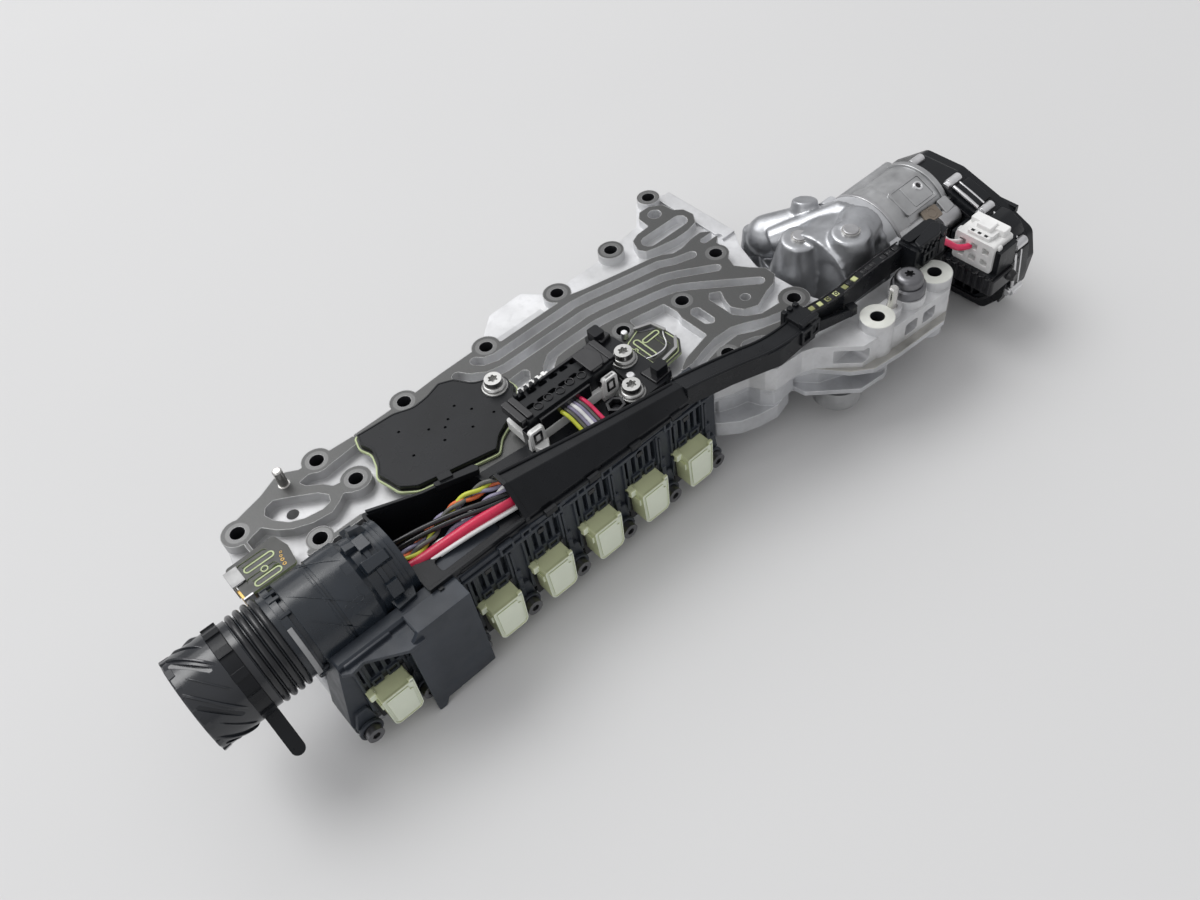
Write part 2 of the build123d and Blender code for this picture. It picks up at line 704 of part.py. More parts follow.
with BuildPart() as motor_cover_lid:
    with BuildSketch(facing_right(cover_start_x + cover_depth - cover_lid_depth)):
        add(outline(motor_cover_outline, 7))
    extrude(amount=cover_lid_depth)
    with BuildSketch(facing_right(cover_start_x + cover_depth)):
        with Locations((-120, -32)):
            for k in range(-2, 3):
                with Locations((0, 13 * k)):
                    Rectangle(84, 5)
    extrude(amount=cover_rib_height)
    fillet(motor_cover_lid.faces().filter_by(Axis.X).sort_by(Axis.X)[0].outer_wire().edges(), 1)
keep(motor_cover_lid, "motor_cover_lid")

clip_start_x = cover_start_x + 9.0
clip_end_x = cover_start_x + 24.0

with BuildPart() as cover_clips:
    for y, z in clip_places:
        out_y = 2.0 if y > -110 else -2.0 if y < -160 else 0.0
        out_z = 2.0 if z > -20 else -1.5 if z < -60 else 0.0
        with BuildSketch(facing_right(clip_start_x, y + out_y, z + out_z)):
            Circle(3.2)
        extrude(amount=clip_end_x - clip_start_x)
    with BuildSketch(facing_right(cover_start_x)):
        add(outline(motor_cover_outline, 7))
    extrude(amount=cover_depth + 6, mode=Mode.SUBTRACT)
keep(cover_clips, "cover_clips")

# White connector that plugs into the seat on the cover
with BuildPart() as motor_plug:
    with BuildSketch(facing_right(cover_start_x - motor_plug_depth, motor_plug_y, motor_plug_z)):
        RectangleRounded(motor_plug_width, motor_plug_height, 2)
    extrude(amount=motor_plug_depth)
    with BuildSketch(Plane.XY.offset(motor_plug_z + motor_plug_height / 2)):
        with Locations((cover_start_x - 9, motor_plug_y)):
            RectangleRounded(13, 18, 1.5)
    extrude(amount=3)
    with BuildSketch(facing_right(cover_start_x - motor_plug_depth, motor_plug_y, motor_plug_z)):
        with GridLocations(9, 9, 3, 2):
            RectangleRounded(5, 5, 1)
    extrude(amount=4, mode=Mode.SUBTRACT)
keep(motor_plug, "motor_plug")

# Boards and cover on the machined face
with BuildPart() as control_board:
    with BuildSketch(Plane.XY):
        add(outline(board_outline, 2.5))
        with Locations(*[(x, y) for x, y, z in face_bolts_at]):
            Circle(face_bolt_d / 2 + 0.3, mode=Mode.SUBTRACT)
    extrude(amount=board_thick)
keep(control_board, "control_board")

with BuildPart() as control_board_cover:
    with BuildSketch(Plane.XY.offset(board_thick)) as cover_shape:
        add(outline(board_outline, 2.5))
        offset(amount=-board_rim, kind=Kind.ARC)
        with Locations(*[(x, y) for x, y, z in face_bolts_at]):
            Circle(face_bolt_d / 2 + 0.3, mode=Mode.SUBTRACT)
    extrude(amount=board_cover_thick)
    with Locations(*[(x, y, board_thick + board_cover_thick) for x, y in (
            (70, -22), (84, -34), (92, -40), (86, -48), (97, -36), (106, -30), (112, -40), (104, -52),
            (66, -44), (120, -52))]):
        Hole(0.9, depth=1.2)
keep(control_board_cover, "control_board_cover")

sensor_board_thick = 2.0
left_board_outline = [(-56, -31), (-24, -30), (-21, -42), (-23, -56), (-56, -56)]
right_board_outline = [(212, -66), (230, -60), (239, -68), (240, -88), (233, -97), (213, -99)]

with BuildPart() as left_sensor_board:
    with BuildSketch(Plane.XY):
        add(outline(left_board_outline, 2.5))
        with Locations((-33, -50)):
            Circle(2.2, mode=Mode.SUBTRACT)
    extrude(amount=sensor_board_thick)
    with BuildSketch(Plane.XY.offset(sensor_board_thick)):
        for y in (-36, -48):
            with Locations((-41, y)):
                SlotOverall(19, 4.4)
                SlotOverall(14, 2, mode=Mode.SUBTRACT)
    extrude(amount=-0.5, mode=Mode.SUBTRACT)
keep(left_sensor_board, "left_sensor_board")

with BuildPart() as right_sensor_board:
    with BuildSketch(Plane.XY):
        add(outline(right_board_outline, 2.5))
    extrude(amount=sensor_board_thick)
    with BuildSketch(Plane.XY.offset(sensor_board_thick)):
        for x in (219, 231):
            with Locations((x, -79)):
                SlotOverall(19, 4.4, rotation=90)
                SlotOverall(14, 2, rotation=90, mode=Mode.SUBTRACT)
    extrude(amount=-0.5, mode=Mode.SUBTRACT)
keep(right_sensor_board, "right_sensor_board")

# Spring clips that hold the two sensor boards
with BuildPart() as board_clips:
    with BuildSketch(facing_front(-46)):
        with BuildLine():
            Polyline((-50, 2), (-50, 3.2), (-58.2, 3.2), (-58.2, -8), (-57, -8), (-57, 2), close=True)
        make_face()
    extrude(amount=-12)
    with BuildSketch(Plane.XY.offset(sensor_board_thick)):
        strip([(226, -62), (236, -66), (238, -76)], 2)
        strip([(238, -86), (232, -93), (220, -95)], 2)
    extrude(amount=2.4)
keep(board_clips, "board_clips")

bracket_outline = [(196, -48), (206, -47), (209, -60), (210, -70), (211, -98), (216, -106), (206, -112),
                   (180, -112), (182, -98), (190, -94), (192, -70)]

with BuildPart() as centre_bracket:
    with BuildSketch(Plane.XY):
        add(outline(bracket_outline, 2))
        with Locations(*[(x, y) for x, y, z in face_bolts_at[1:]]):
            Circle(face_bolt_d / 2 + 0.3, mode=Mode.SUBTRACT)
    extrude(amount=bracket_thick)
    with BuildSketch(Plane.XY.offset(bracket_thick)):
        with Locations((201, -54)):
            RectangleRounded(8, 9, 1.5)
        with Locations((208, -104)):
            RectangleRounded(9, 7, 1)
    extrude(amount=7)
keep(centre_bracket, "centre_bracket")

with BuildPart() as bolt_washers:
    for x, y, seat in face_bolts_at:
        with BuildSketch(Plane.XY.offset(seat)):
            with Locations((x, y)):
                Circle(washer_d / 2)
                Circle(face_bolt_d / 2 + 0.3, mode=Mode.SUBTRACT)
        extrude(amount=washer_thick)
keep(bolt_washers, "bolt_washers")

with BuildPart() as face_bolts:
    for x, y, seat in face_bolts_at:
        head_z = seat + washer_thick
        with BuildSketch(Plane.XY.offset(-face_bolt_sink + 1)):
            with Locations((x, y)):
                Circle(face_bolt_d / 2 - fit_gap)
        extrude(amount=face_bolt_sink - 1 + head_z)
        with BuildSketch(Plane.XY.offset(head_z)):
            with Locations((x, y)):
                Circle(face_bolt_head_d / 2)
        extrude(amount=face_bolt_head, taper=4)
        with BuildSketch(Plane.XY.offset(head_z + face_bolt_head)):
            with Locations((x, y)):
                Circle(2.3)
                with PolarLocations(2.4, 6):
                    Circle(0.8)
        extrude(amount=-3, mode=Mode.SUBTRACT)
keep(face_bolts, "face_bolts")

with BuildPart() as flange_bush:
    with BuildSketch(Plane.XY):
        with Locations(flange_screw_at):
            Circle(flange_bush_d / 2)
            Circle(flange_screw_d / 2 + 0.3, mode=Mode.SUBTRACT)
    extrude(amount=flange_bush_height)
    chamfer(flange_bush.faces().sort_by(Axis.Z)[-1].outer_wire().edges(), 1.2)
keep(flange_bush, "flange_bush")

with BuildPart() as flange_screw:
    with BuildSketch(Plane.XY.offset(-flange_screw_sink + 1)):
        with Locations(flange_screw_at):
            Circle(flange_screw_d / 2 - fit_gap)
    extrude(amount=flange_screw_sink - 1 + flange_bush_height)
    with BuildSketch(Plane.XY.offset(flange_bush_height)):
        with Locations(flange_screw_at):
            Circle(flange_head_d / 2)
    extrude(amount=flange_head_height)
    fillet(flange_screw.faces().sort_by(Axis.Z)[-1].edges(), 4)
    with BuildSketch(Plane.XY.offset(flange_bush_height + flange_head_height)):
        with Locations(flange_screw_at):
            Circle(2.3)
            with PolarLocations(2.4, 6):
                Circle(0.8)
    extrude(amount=-4, mode=Mode.SUBTRACT)
keep(flange_screw, "flange_screw")

# Solenoid carrier: a comb of posts with a bolt through each, slotted above every solenoid
with BuildPart() as solenoid_carrier:
    with BuildSketch(facing_front(carrier_front_y)):
        add(outline([(carrier_left, carrier_top), (carrier_foot_left, carrier_bottom + 6),
                     (carrier_foot_left, carrier_bottom), (carrier_right, carrier_bottom),
                     (carrier_right, carrier_top)], 2))
        with Locations(*[(x, carrier_bolt_z) for x in carrier_bolt_xs]):
            Circle(lug_radius)
        with Locations(*[(x, solenoid_z - 6) for x in solenoid_xs]):
            Rectangle(coil_width + 2 * coil_clearance, coil_height + 12 + 2 * coil_clearance,
                      mode=Mode.SUBTRACT)
    extrude(amount=carrier_front_y - front_y)
    with BuildSketch(facing_right(carrier_foot_left)):
        with BuildLine():
            Polyline((carrier_front_y - 1, carrier_top - carrier_chamfer - 1),
                     (carrier_front_y - 1, carrier_top + 1),
                     (carrier_front_y + carrier_chamfer + 1, carrier_top + 1), close=True)
        make_face()
    extrude(amount=carrier_right - carrier_foot_left + 1, mode=Mode.SUBTRACT)
    with BuildSketch(facing_front(carrier_front_y)):
        with Locations(*[(x, carrier_bolt_z) for x in carrier_bolt_xs]):
            Circle(lug_radius - 1.2)
    extrude(amount=lug_height)
    with BuildSketch(facing_front(carrier_front_y)):
        for x in solenoid_xs:
            for k in range(slots_per_solenoid):
                across = (k - (slots_per_solenoid - 1) / 2) * slot_pitch
                with Locations((x + across, slot_middle_z)):
                    RectangleRounded(slot_width, slot_height, 0.8)
    extrude(amount=-slot_depth, mode=Mode.SUBTRACT)
    with BuildSketch(facing_front(carrier_front_y - lug_height)):
        with Locations(*[(x, carrier_bolt_z) for x in carrier_bolt_xs]):
            Circle(carrier_bolt_d / 2 + 0.2)
    extrude(amount=-60, mode=Mode.SUBTRACT)
    # Clear of the round plug's sleeve
    with BuildSketch(facing_right(carrier_foot_left - 1, plug_y)):
        Circle(sleeve_r)
    extrude(amount=collar_end_x - carrier_foot_left + 1, mode=Mode.SUBTRACT)
keep(solenoid_carrier, "solenoid_carrier")

with BuildPart() as carrier_bolts:
    for x in carrier_bolt_xs:
        with BuildSketch(facing_front(carrier_front_y - lug_height)):
            with Locations((x, carrier_bolt_z)):
                Circle(carrier_bolt_head_d / 2)
        extrude(amount=carrier_bolt_head)
        with BuildSketch(facing_front(carrier_front_y - lug_height)):
            with Locations((x, carrier_bolt_z)):
                Circle(carrier_bolt_d / 2 - 0.01)
        extrude(amount=carrier_front_y - lug_height - front_y - 11)
        with BuildSketch(facing_front(carrier_front_y - lug_height - carrier_bolt_head)):
            with Locations((x, carrier_bolt_z)):
                RegularPolygon(2.6, 6)
        extrude(amount=-2.5, mode=Mode.SUBTRACT)
keep(carrier_bolts, "carrier_bolts")

coil_front_y = cap_front_y + cap_depth
coil_head_width = cap_width - 2 * cap_wall - 0.6
coil_head_height = cap_height - 2 * cap_wall - 0.6
cap_taper = 0.75
cap_corner = 3.0
cap_x = cap_width / 2
cap_z = cap_height / 2
cap_outline = [(-cap_x, cap_z), (-cap_x + cap_taper, -cap_z + cap_corner), (-cap_x + cap_corner, -cap_z),
               (cap_x - cap_corner, -cap_z), (cap_x - cap_taper, -cap_z + cap_corner), (cap_x, cap_z)]

for number, x in enumerate(solenoid_xs, 1):
    with BuildPart() as solenoid:
        with BuildSketch(Plane(origin=(x, coil_front_y, solenoid_z), x_dir=(1, 0, 0), z_dir=(0, -1, 0))):
            RectangleRounded(coil_width, coil_height, 1.5)
        extrude(amount=coil_front_y - front_y)
        with BuildSketch(Plane(origin=(x, coil_front_y, solenoid_z), x_dir=(1, 0, 0), z_dir=(0, -1, 0))):
            Rectangle(coil_head_width, coil_head_height)
        extrude(amount=cap_depth - cap_wall - 0.4)
        chamfer(solenoid.faces().sort_by(Axis.Y)[0].edges(), 1.5)
        with BuildSketch(Plane(origin=(x, front_y, solenoid_z), x_dir=(1, 0, 0), z_dir=(0, -1, 0))):
            Circle(nozzle_d / 2)
        extrude(amount=-nozzle_reach + 1)
    keep(solenoid, f"solenoid_{number}")

cap_front = facing_front(cap_front_y)
cap_open_end = facing_front(coil_front_y)
with BuildPart() as cap_shape:
    with BuildSketch(cap_front):
        with Locations((0, solenoid_z)):
            add(outline(cap_outline, 0.8))
    extrude(amount=-cap_depth)
    chamfer(cap_shape.faces().sort_by(Axis.Y)[0].edges(), 0.5)
    # Clip at the upper left corner
    with BuildSketch(facing_front(carrier_front_y - 0.1)):
        with Locations((-cap_x - 1, solenoid_z + cap_z - 2)):
            RectangleRounded(5, 6, 0.8)
    extrude(amount=3)
    with BuildSketch(cap_open_end):
        with Locations((0, solenoid_z)):
            Rectangle(coil_head_width + 0.6, coil_head_height + 0.6)
    extrude(amount=cap_depth - cap_wall, mode=Mode.SUBTRACT)

with BuildPart() as solenoid_caps:
    for x in solenoid_xs:
        add(Pos(x, 0, 0) * cap_shape.part)
keep(solenoid_caps, "solenoid_caps")

# Spool valves with their springs
spool_start_y = bore_mouth_y + 1.0
spool_end_y = spool_start_y + spool_length
plug_start_y = back_y - bore_plug_depth
spool_lands = (0, 18, 34, spool_length - spool_land)

for number, x in zip(spool_numbers, spool_xs):
    with BuildPart() as spool:
        with BuildSketch(Plane(origin=(x, spool_start_y, bore_z), x_dir=(1, 0, 0), z_dir=(0, -1, 0))):
            Circle(spool_neck_d / 2)
        extrude(amount=-spool_length)
        for start in spool_lands:
            with BuildSketch(Plane(origin=(x, spool_start_y + start, bore_z), x_dir=(1, 0, 0),
                                   z_dir=(0, -1, 0))):
                Circle(spool_d / 2)
            extrude(amount=-spool_land)
    keep(spool, f"spool_{number}")

    turns_length = plug_start_y - spool_end_y - spring_wire
    with BuildPart() as spool_spring:
        with BuildLine() as coil:
            Helix(turns_length / spring_turns, turns_length, (spring_d - spring_wire) / 2,
                  center=(x, spool_end_y + spring_wire / 2, bore_z), direction=(0, 1, 0))
        with BuildSketch(Plane(origin=coil.line @ 0, z_dir=coil.line % 0)):
            Circle(spring_wire / 2)
        sweep()
    keep(spool_spring, f"spool_spring_{number}")

# One size of plug closes the spool bores and the two domes of the pump housing
with BuildPart() as plug_shape:
    with BuildSketch():
        Circle(bore_plug_r)
    extrude(amount=-bore_plug_depth)
    with BuildSketch():
        RegularPolygon(3, 6)
    extrude(amount=-4, mode=Mode.SUBTRACT)

with BuildPart() as bore_plugs:
    for x in spool_xs:
        add(Plane(origin=(x, back_y, bore_z), x_dir=(1, 0, 0), z_dir=(0, 1, 0)) * plug_shape.part)
    for (x, y), top in ((port_dome_at, port_dome_top), (relief_dome_at, relief_dome_top)):
        add(Pos(x, y, top) * plug_shape.part)
keep(bore_plugs, "bore_plugs")

# Cover panel over the second solenoid
panel_front_y = -142.0
panel_thick = 2.2
panel_back_y = -127.6
wing_top = -4.0
wing_thick = 2.5
wing_outline = [(-42, -128), (-42, -130), (-37.5, -133), (-29.5, -131.5), (-8, -143.5), (2, -143.5),
                (2, -128)]
panel_outline = [(-8, -8), (0, 2), (34, 2), (34, -70), (4, -71), (0, -71), (-3, -77), (-8, -77)]

with BuildPart() as cover_panel:
    with BuildSketch(facing_front(panel_front_y)):
        add(outline(panel_outline, 1))
    extrude(amount=-panel_thick)
    with BuildSketch(Plane.XY.offset(carrier_top)):
        with BuildLine():
            Polyline((0, panel_front_y), (34, panel_front_y), (34, panel_back_y), (0, panel_back_y),
                     close=True)
        make_face()
    extrude(amount=panel_thick)
    with BuildSketch(facing_front(carrier_front_y)):
        for side in (0.5, 32.5):
            with Locations((side, -12)):
                Rectangle(1.8, 26)
    extrude(amount=carrier_front_y - panel_front_y)
    # Ledge that runs on to the left, over the first solenoid
    with BuildSketch(Plane.XY.offset(wing_top)):
        with BuildLine():
            Polyline(*wing_outline, close=True)
        make_face()
    extrude(amount=-wing_thick)
keep(cover_panel, "cover_panel")

# Wire tray: deep box at the left, low shelf in front of it and beside the boards
tray_wall = 2.0
tray_rim_z = 8.0
tray_shelf = 5.0
tray_left_x = collar_end_x
tray_outline = [(tray_left_x, -59.5), (52, -72.5), (80, -79.5), (84, -86), (84, front_y + 0.4),
                (tray_left_x, front_y + 0.4)]
shelf_outline = [(84, -83), (112, -86), (179, -96), (179, -111), (150, -106), (120, -101), (84, -96)]
cover_profile_left = [(-127.5, 0), (-127.5, 5), (-113, 22), (-104, 22), (-99, 16), (-99, 0)]
cover_profile_right = [(-131, 0), (-131, 5), (-127, 14), (-120, 14), (-117, 11), (-117, 0)]
tray_cover_x = (84.5, 206.0)

with BuildPart() as wire_tray:
    with BuildSketch(Plane.XY.offset(plate_top)):
        add(outline(tray_outline, 1.5))
    extrude(amount=tray_rim_z - plate_top)
    with BuildSketch(Plane.XY.offset(plate_top + tray_wall)):
        add(offset(outline(tray_outline, 1.5), amount=-tray_wall, mode=Mode.PRIVATE))
    extrude(amount=tray_rim_z - plate_top, mode=Mode.SUBTRACT)
    with BuildSketch(facing_right(tray_left_x, plug_y, 0)):
        Circle(shank_bore_r)
        with Locations((0, 10)):
            Rectangle(2 * shank_bore_r, 20)
    extrude(amount=tray_wall, mode=Mode.SUBTRACT)
    with BuildSketch(Plane.XY.offset(tray_wall)):
        with Locations((56, front_y + 1)):
            Rectangle(70, 16)
    extrude(amount=20, mode=Mode.SUBTRACT)
    with BuildSketch(Plane.XY.offset(carrier_top)):
        with BuildLine():
            Polyline((tray_left_x, front_y + 2), (84, front_y + 2), (84, -127.5), (tray_left_x, -127.5),
                     close=True)
        make_face()
        with Locations((51.5, -116)):
            RectangleRounded(40, 9, 2, mode=Mode.SUBTRACT)
    extrude(amount=tray_wall)
    with BuildSketch(Plane.XY.offset(carrier_top + tray_wall)):
        with Locations((51.5, -126.5)):
            Rectangle(65, 2)
    extrude(amount=3)
    with BuildSketch(Plane.XY):
        add(outline(shelf_outline, 1))
    extrude(amount=tray_shelf)
keep(wire_tray, "wire_tray")

with BuildPart() as tray_cover:
    with BuildSketch(facing_right(tray_cover_x[0])):
        add(outline(cover_profile_left, 1))
    with BuildSketch(facing_right(tray_cover_x[1])):
        add(outline(cover_profile_right, 1))
    loft()
    with BuildSketch(facing_right(tray_cover_x[0])):
        add(offset(outline(cover_profile_left, 1), amount=-tray_wall, kind=Kind.INTERSECTION,
                   mode=Mode.PRIVATE))
    with BuildSketch(facing_right(tray_cover_x[1])):
        add(offset(outline(cover_profile_right, 1), amount=-tray_wall, kind=Kind.INTERSECTION,
                   mode=Mode.PRIVATE))
    loft(mode=Mode.SUBTRACT)
keep(tray_cover, "tray_cover")

channel_route = [(206, -124), (238, -132), (268, -142), (286, -141)]
channel_height = 14.0
channel_wide = 13.0
strip_route = [(300, -139), (312, -141), (326, -142), (345, -141), (362, -141), (384, -142)]
strip_height = 16.0
strip_wide = 7.0
strip_cell = 4.0

with BuildPart() as cable_channel:
    with BuildSketch(Plane.XY):
        strip(channel_route, channel_wide)
        with Locations((293, -139)):
            RectangleRounded(13, 17, 2)
        with Locations((198, -124)):
            Rectangle(16, 30, mode=Mode.SUBTRACT)
    extrude(amount=channel_height)
    with BuildSketch(Plane.XY.offset(channel_height)):
        with Locations((293, -139)):
            RectangleRounded(13, 17, 2)
    extrude(amount=3)
    with BuildSketch(Plane.XY):
        strip(channel_route, channel_wide - 2 * tray_wall)
    extrude(amount=channel_height - tray_wall, mode=Mode.SUBTRACT)
keep(cable_channel, "cable_channel")

with BuildPart() as channel_strip:
    with BuildSketch(Plane.XY):
        strip(strip_route, strip_wide)
        with Locations((296, -139)):
            Rectangle(7, 20, mode=Mode.SUBTRACT)
        with Locations((386, -142)):
            Rectangle(8, 12, mode=Mode.SUBTRACT)
    extrude(amount=strip_height)
    with BuildSketch(Plane.XY):
        strip(strip_route, strip_wide - 2.4)
    extrude(amount=strip_height - 3, mode=Mode.SUBTRACT)
    with BuildSketch(Plane.XY.offset(strip_height)):
        for (x0, y0), (x1, y1) in zip(strip_route, strip_route[1:]):
            for along in (0.28, 0.72):
                with Locations((x0 + (x1 - x0) * along, y0 + (y1 - y0) * along)):
                    Rectangle(strip_cell, strip_wide - 3, rotation=degrees(atan2(y1 - y0, x1 - x0)))
    extrude(amount=-1.5, mode=Mode.SUBTRACT)
keep(channel_strip, "channel_strip")

# Locking plug at the end of the channel
end_plug_x = 382.0
end_plug_length = 32.0
end_plug_y = -148.0

with BuildPart() as channel_plug:
    with BuildSketch(Plane.XY):
        with Locations((end_plug_x + end_plug_length / 2, end_plug_y)):
            RectangleRounded(end_plug_length, 15, 2)
    extrude(amount=18)
    with BuildSketch(Plane.XY.offset(18)):
        with Locations((end_plug_x + 14, end_plug_y + 3)):
            RectangleRounded(24, 7, 2)
    extrude(amount=3)
    with BuildSketch(facing_front(end_plug_y - 7.5)):
        with Locations(*[(end_plug_x + 8 + 5 * k, 10) for k in range(4)]):
            Rectangle(2, 12)
    extrude(amount=1.5)
keep(channel_plug, "channel_plug")

# Small plug on the boards, in its pale holder
block_x = 154.0
block_y = -78.0
block_length = 66.0
holder_height = 7.0
block_height = 12.0

with BuildPart() as plug_holder:
    with BuildSketch(Plane.XY.offset(tray_shelf)):
        with Locations((block_x - 4, block_y - 2)):
            RectangleRounded(block_length - 2, 24, 2)
    extrude(amount=holder_height)
    with BuildSketch(facing_front(block_y - 14)):
        for x in (block_x - 32, block_x + 25):
            with Locations((x, tray_shelf + 8)):
                RectangleRounded(9, 14, 1.5)
    extrude(amount=2.5)
keep(plug_holder, "plug_holder")

with BuildPart() as plug_block:
    with BuildSketch(Plane.XY.offset(tray_shelf + holder_height)):
        with Locations((block_x, block_y)):
            RectangleRounded(block_length, 22, 2)
    extrude(amount=block_height)
    with BuildSketch(Plane.XY.offset(tray_shelf + holder_height + block_height)):
        with Locations((block_x, block_y + 2)):
            with GridLocations(8, 9, 7, 2):
                SlotOverall(6, 3)
    extrude(amount=-3, mode=Mode.SUBTRACT)
    with BuildSketch(Plane.XY.offset(tray_shelf + holder_height + block_height)):
        with Locations(*[(block_x - 26 + 4 * k, block_y + 9) for k in range(5)]):
            Rectangle(2, 3)
    extrude(amount=3)
keep(plug_block, "plug_block")

# Round plug
contact_r = 0.8
contact_length = 8.0
latch_angle = 35.0
plug_axis = Axis((0, plug_y, 0), (1, 0, 0))
partition_x = (-90.0, -80.0)
shank_end_x = 8.0
groove_count = 6

with BuildPart() as connector_barrel:
    with BuildSketch(facing_front(plug_y)):
        with BuildLine():
            Polyline(
                (barrel_start_x, socket_r), (barrel_start_x, barrel_r - 0.8),
                (barrel_start_x + 0.8, barrel_r), (lock_ring_x - 0.1, barrel_r),
                (lock_ring_x - 0.1, neck_r), (lock_ring_x + lock_ring_width + 0.1, neck_r),
                (lock_ring_x + lock_ring_width + 0.1, neck_r + 2), (sleeve_start_x, neck_r + 2),
                (sleeve_start_x, shank_r), (shank_end_x, shank_r), (shank_end_x, shank_bore_r),
                (partition_x[1], shank_bore_r), (partition_x[1], 0), (partition_x[0], 0),
                (partition_x[0], socket_r), close=True)
        make_face()
    revolve(axis=plug_axis)
    # Slanting bayonet grooves around the barrel
    for k in range(groove_count):
        turn = 360 / groove_count * k
        with BuildSketch(Plane(origin=(-97, plug_y, 0), x_dir=(1, 0, 0), z_dir=(0, -sin(radians(turn)),
                                                                             cos(radians(turn)))).offset(
                socket_r + 3.4)):
            SlotOverall(24, 2.6, rotation=-50)
        extrude(amount=4, mode=Mode.SUBTRACT)
keep(connector_barrel, "connector_barrel")

with BuildPart() as contact_pins:
    with BuildSketch(facing_right(partition_x[0], plug_y)):
        for ring_r, count in ((15, 10), (8, 6)):
            with PolarLocations(ring_r, count):
                Circle(contact_r)
    extrude(amount=-contact_length)
keep(contact_pins, "contact_pins")

# Lock ring with its lever, drawn about the plug's axis
with BuildPart() as lock_ring:
    with BuildSketch(facing_right(lock_ring_x, plug_y)):
        Circle(barrel_r)
        with PolarLocations(barrel_r - 0.4, 12, start_angle=10):
            Rectangle(3, 5)
        Circle(neck_r + running_gap, mode=Mode.SUBTRACT)
    extrude(amount=lock_ring_width)
    # Lever: a strap with a round end, wider where it leaves the ring
    lever_out = Vector(0, -cos(radians(lever_angle)), -sin(radians(lever_angle)))
    lever_plane = Plane(origin=(lock_ring_x + lock_ring_width / 2, plug_y, 0), x_dir=lever_out,
                        z_dir=Vector(1, 0, 0).cross(lever_out))
    with BuildSketch(lever_plane.offset(-lever_thick / 2)):
        with Locations(((barrel_r + lever_reach - lever_width / 2) / 2 - 1, 0)):
            Rectangle(lever_reach - lever_width / 2 - barrel_r + 2, lever_width)
        with Locations((lever_reach - lever_width / 2, 0)):
            Circle(lever_width / 2)
    extrude(amount=lever_thick)
keep(lock_ring, "lock_ring")

# Sleeve around the plug's shank: seal grooves, flange, barrel and end collar
seal_last_x = first_seal_x + seal_pitch * (seal_count - 1)
sleeve_flange_x = (-50.0, -46.0)
sleeve_step_x = -6.0
sleeve_bore_r = shank_r + running_gap
land_r = ring_seat_r + 1.8

with BuildPart() as adapter_sleeve:
    with BuildSketch(facing_front(plug_y)):
        with BuildLine():
            Polyline(
                (sleeve_start_x, sleeve_bore_r), (sleeve_start_x, land_r),
                (first_seal_x - 1.9, land_r), (first_seal_x - 1.9, ring_seat_r),
                (seal_last_x + 1.9, ring_seat_r), (seal_last_x + 1.9, land_r),
                (sleeve_flange_x[0], land_r), (sleeve_flange_x[0], sleeve_r - 0.4),
                (sleeve_flange_x[1], sleeve_r - 0.4), (sleeve_flange_x[1], sleeve_r - 2),
                (sleeve_flange_x[1] + 3, sleeve_r - 2), (sleeve_flange_x[1] + 3, sleeve_r),
                (-25, sleeve_r), (-25, sleeve_r - 0.8), (-23, sleeve_r - 0.8), (-23, sleeve_r),
                (sleeve_step_x, sleeve_r), (sleeve_step_x + 3, sleeve_r - 2.2),
                (collar_end_x, sleeve_r - 2.8), (collar_end_x, sleeve_bore_r), close=True)
        make_face()
    revolve(axis=plug_axis)
    for k in range(1, seal_count):
        with BuildSketch(facing_right(first_seal_x + seal_pitch * (k - 0.5) - 0.35, plug_y)):
            Circle(land_r - 0.6)
            Circle(ring_seat_r - 0.5, mode=Mode.SUBTRACT)
        extrude(amount=0.7)
    # Facets at the step, slot for the latch and small wings on the collar
    with BuildSketch(facing_right(sleeve_step_x - 5, plug_y)):
        Circle(sleeve_r + 3)
        RegularPolygon(sleeve_r - 0.2, 12, major_radius=False, mode=Mode.SUBTRACT)
    extrude(amount=5, mode=Mode.SUBTRACT)
    with BuildSketch(Plane(origin=(-16, plug_y, 0), x_dir=(1, 0, 0),
                           z_dir=(0, -cos(radians(latch_angle)), -sin(radians(latch_angle)))).offset(
            sleeve_r - 2)):
        RectangleRounded(18, 9, 1.5)
    extrude(amount=5, mode=Mode.SUBTRACT)
    with BuildSketch(facing_right(sleeve_step_x + 8, plug_y)):
        for angle in (30, 90, 155):
            with Locations(Location((0, 0, 0), (0, 0, angle))):
                with Locations((sleeve_r - 1.6, 0)):
                    Rectangle(5, 9)
        Circle(sleeve_r - 4, mode=Mode.SUBTRACT)
    extrude(amount=7)
keep(adapter_sleeve, "adapter_sleeve")

with BuildPart() as seal_rings:
    for k in range(seal_count):
        with BuildSketch(facing_front(plug_y)):
            with Locations((first_seal_x + seal_pitch * k, ring_seat_r + seal_wire / 2)):
                Circle(seal_wire / 2)
    revolve(axis=plug_axis)
keep(seal_rings, "seal_rings")

# Stub under the casting's right part
stub_at = (318.0, -152.0)
stub_r = 16.0
stub_height = 15.0

with BuildPart() as suction_stub:
    with BuildSketch(Plane.XY.offset(right_floor_z)):
        with Locations(stub_at):
            Circle(stub_r)
    extrude(amount=-stub_height)
    chamfer(suction_stub.faces().sort_by(Axis.Z)[0].edges(), 1)
    with BuildSketch(Plane.XY.offset(right_floor_z - stub_height)):
        with Locations(stub_at):
            Circle(stub_r - 5)
    extrude(amount=stub_height, mode=Mode.SUBTRACT)
keep(suction_stub, "suction_stub")

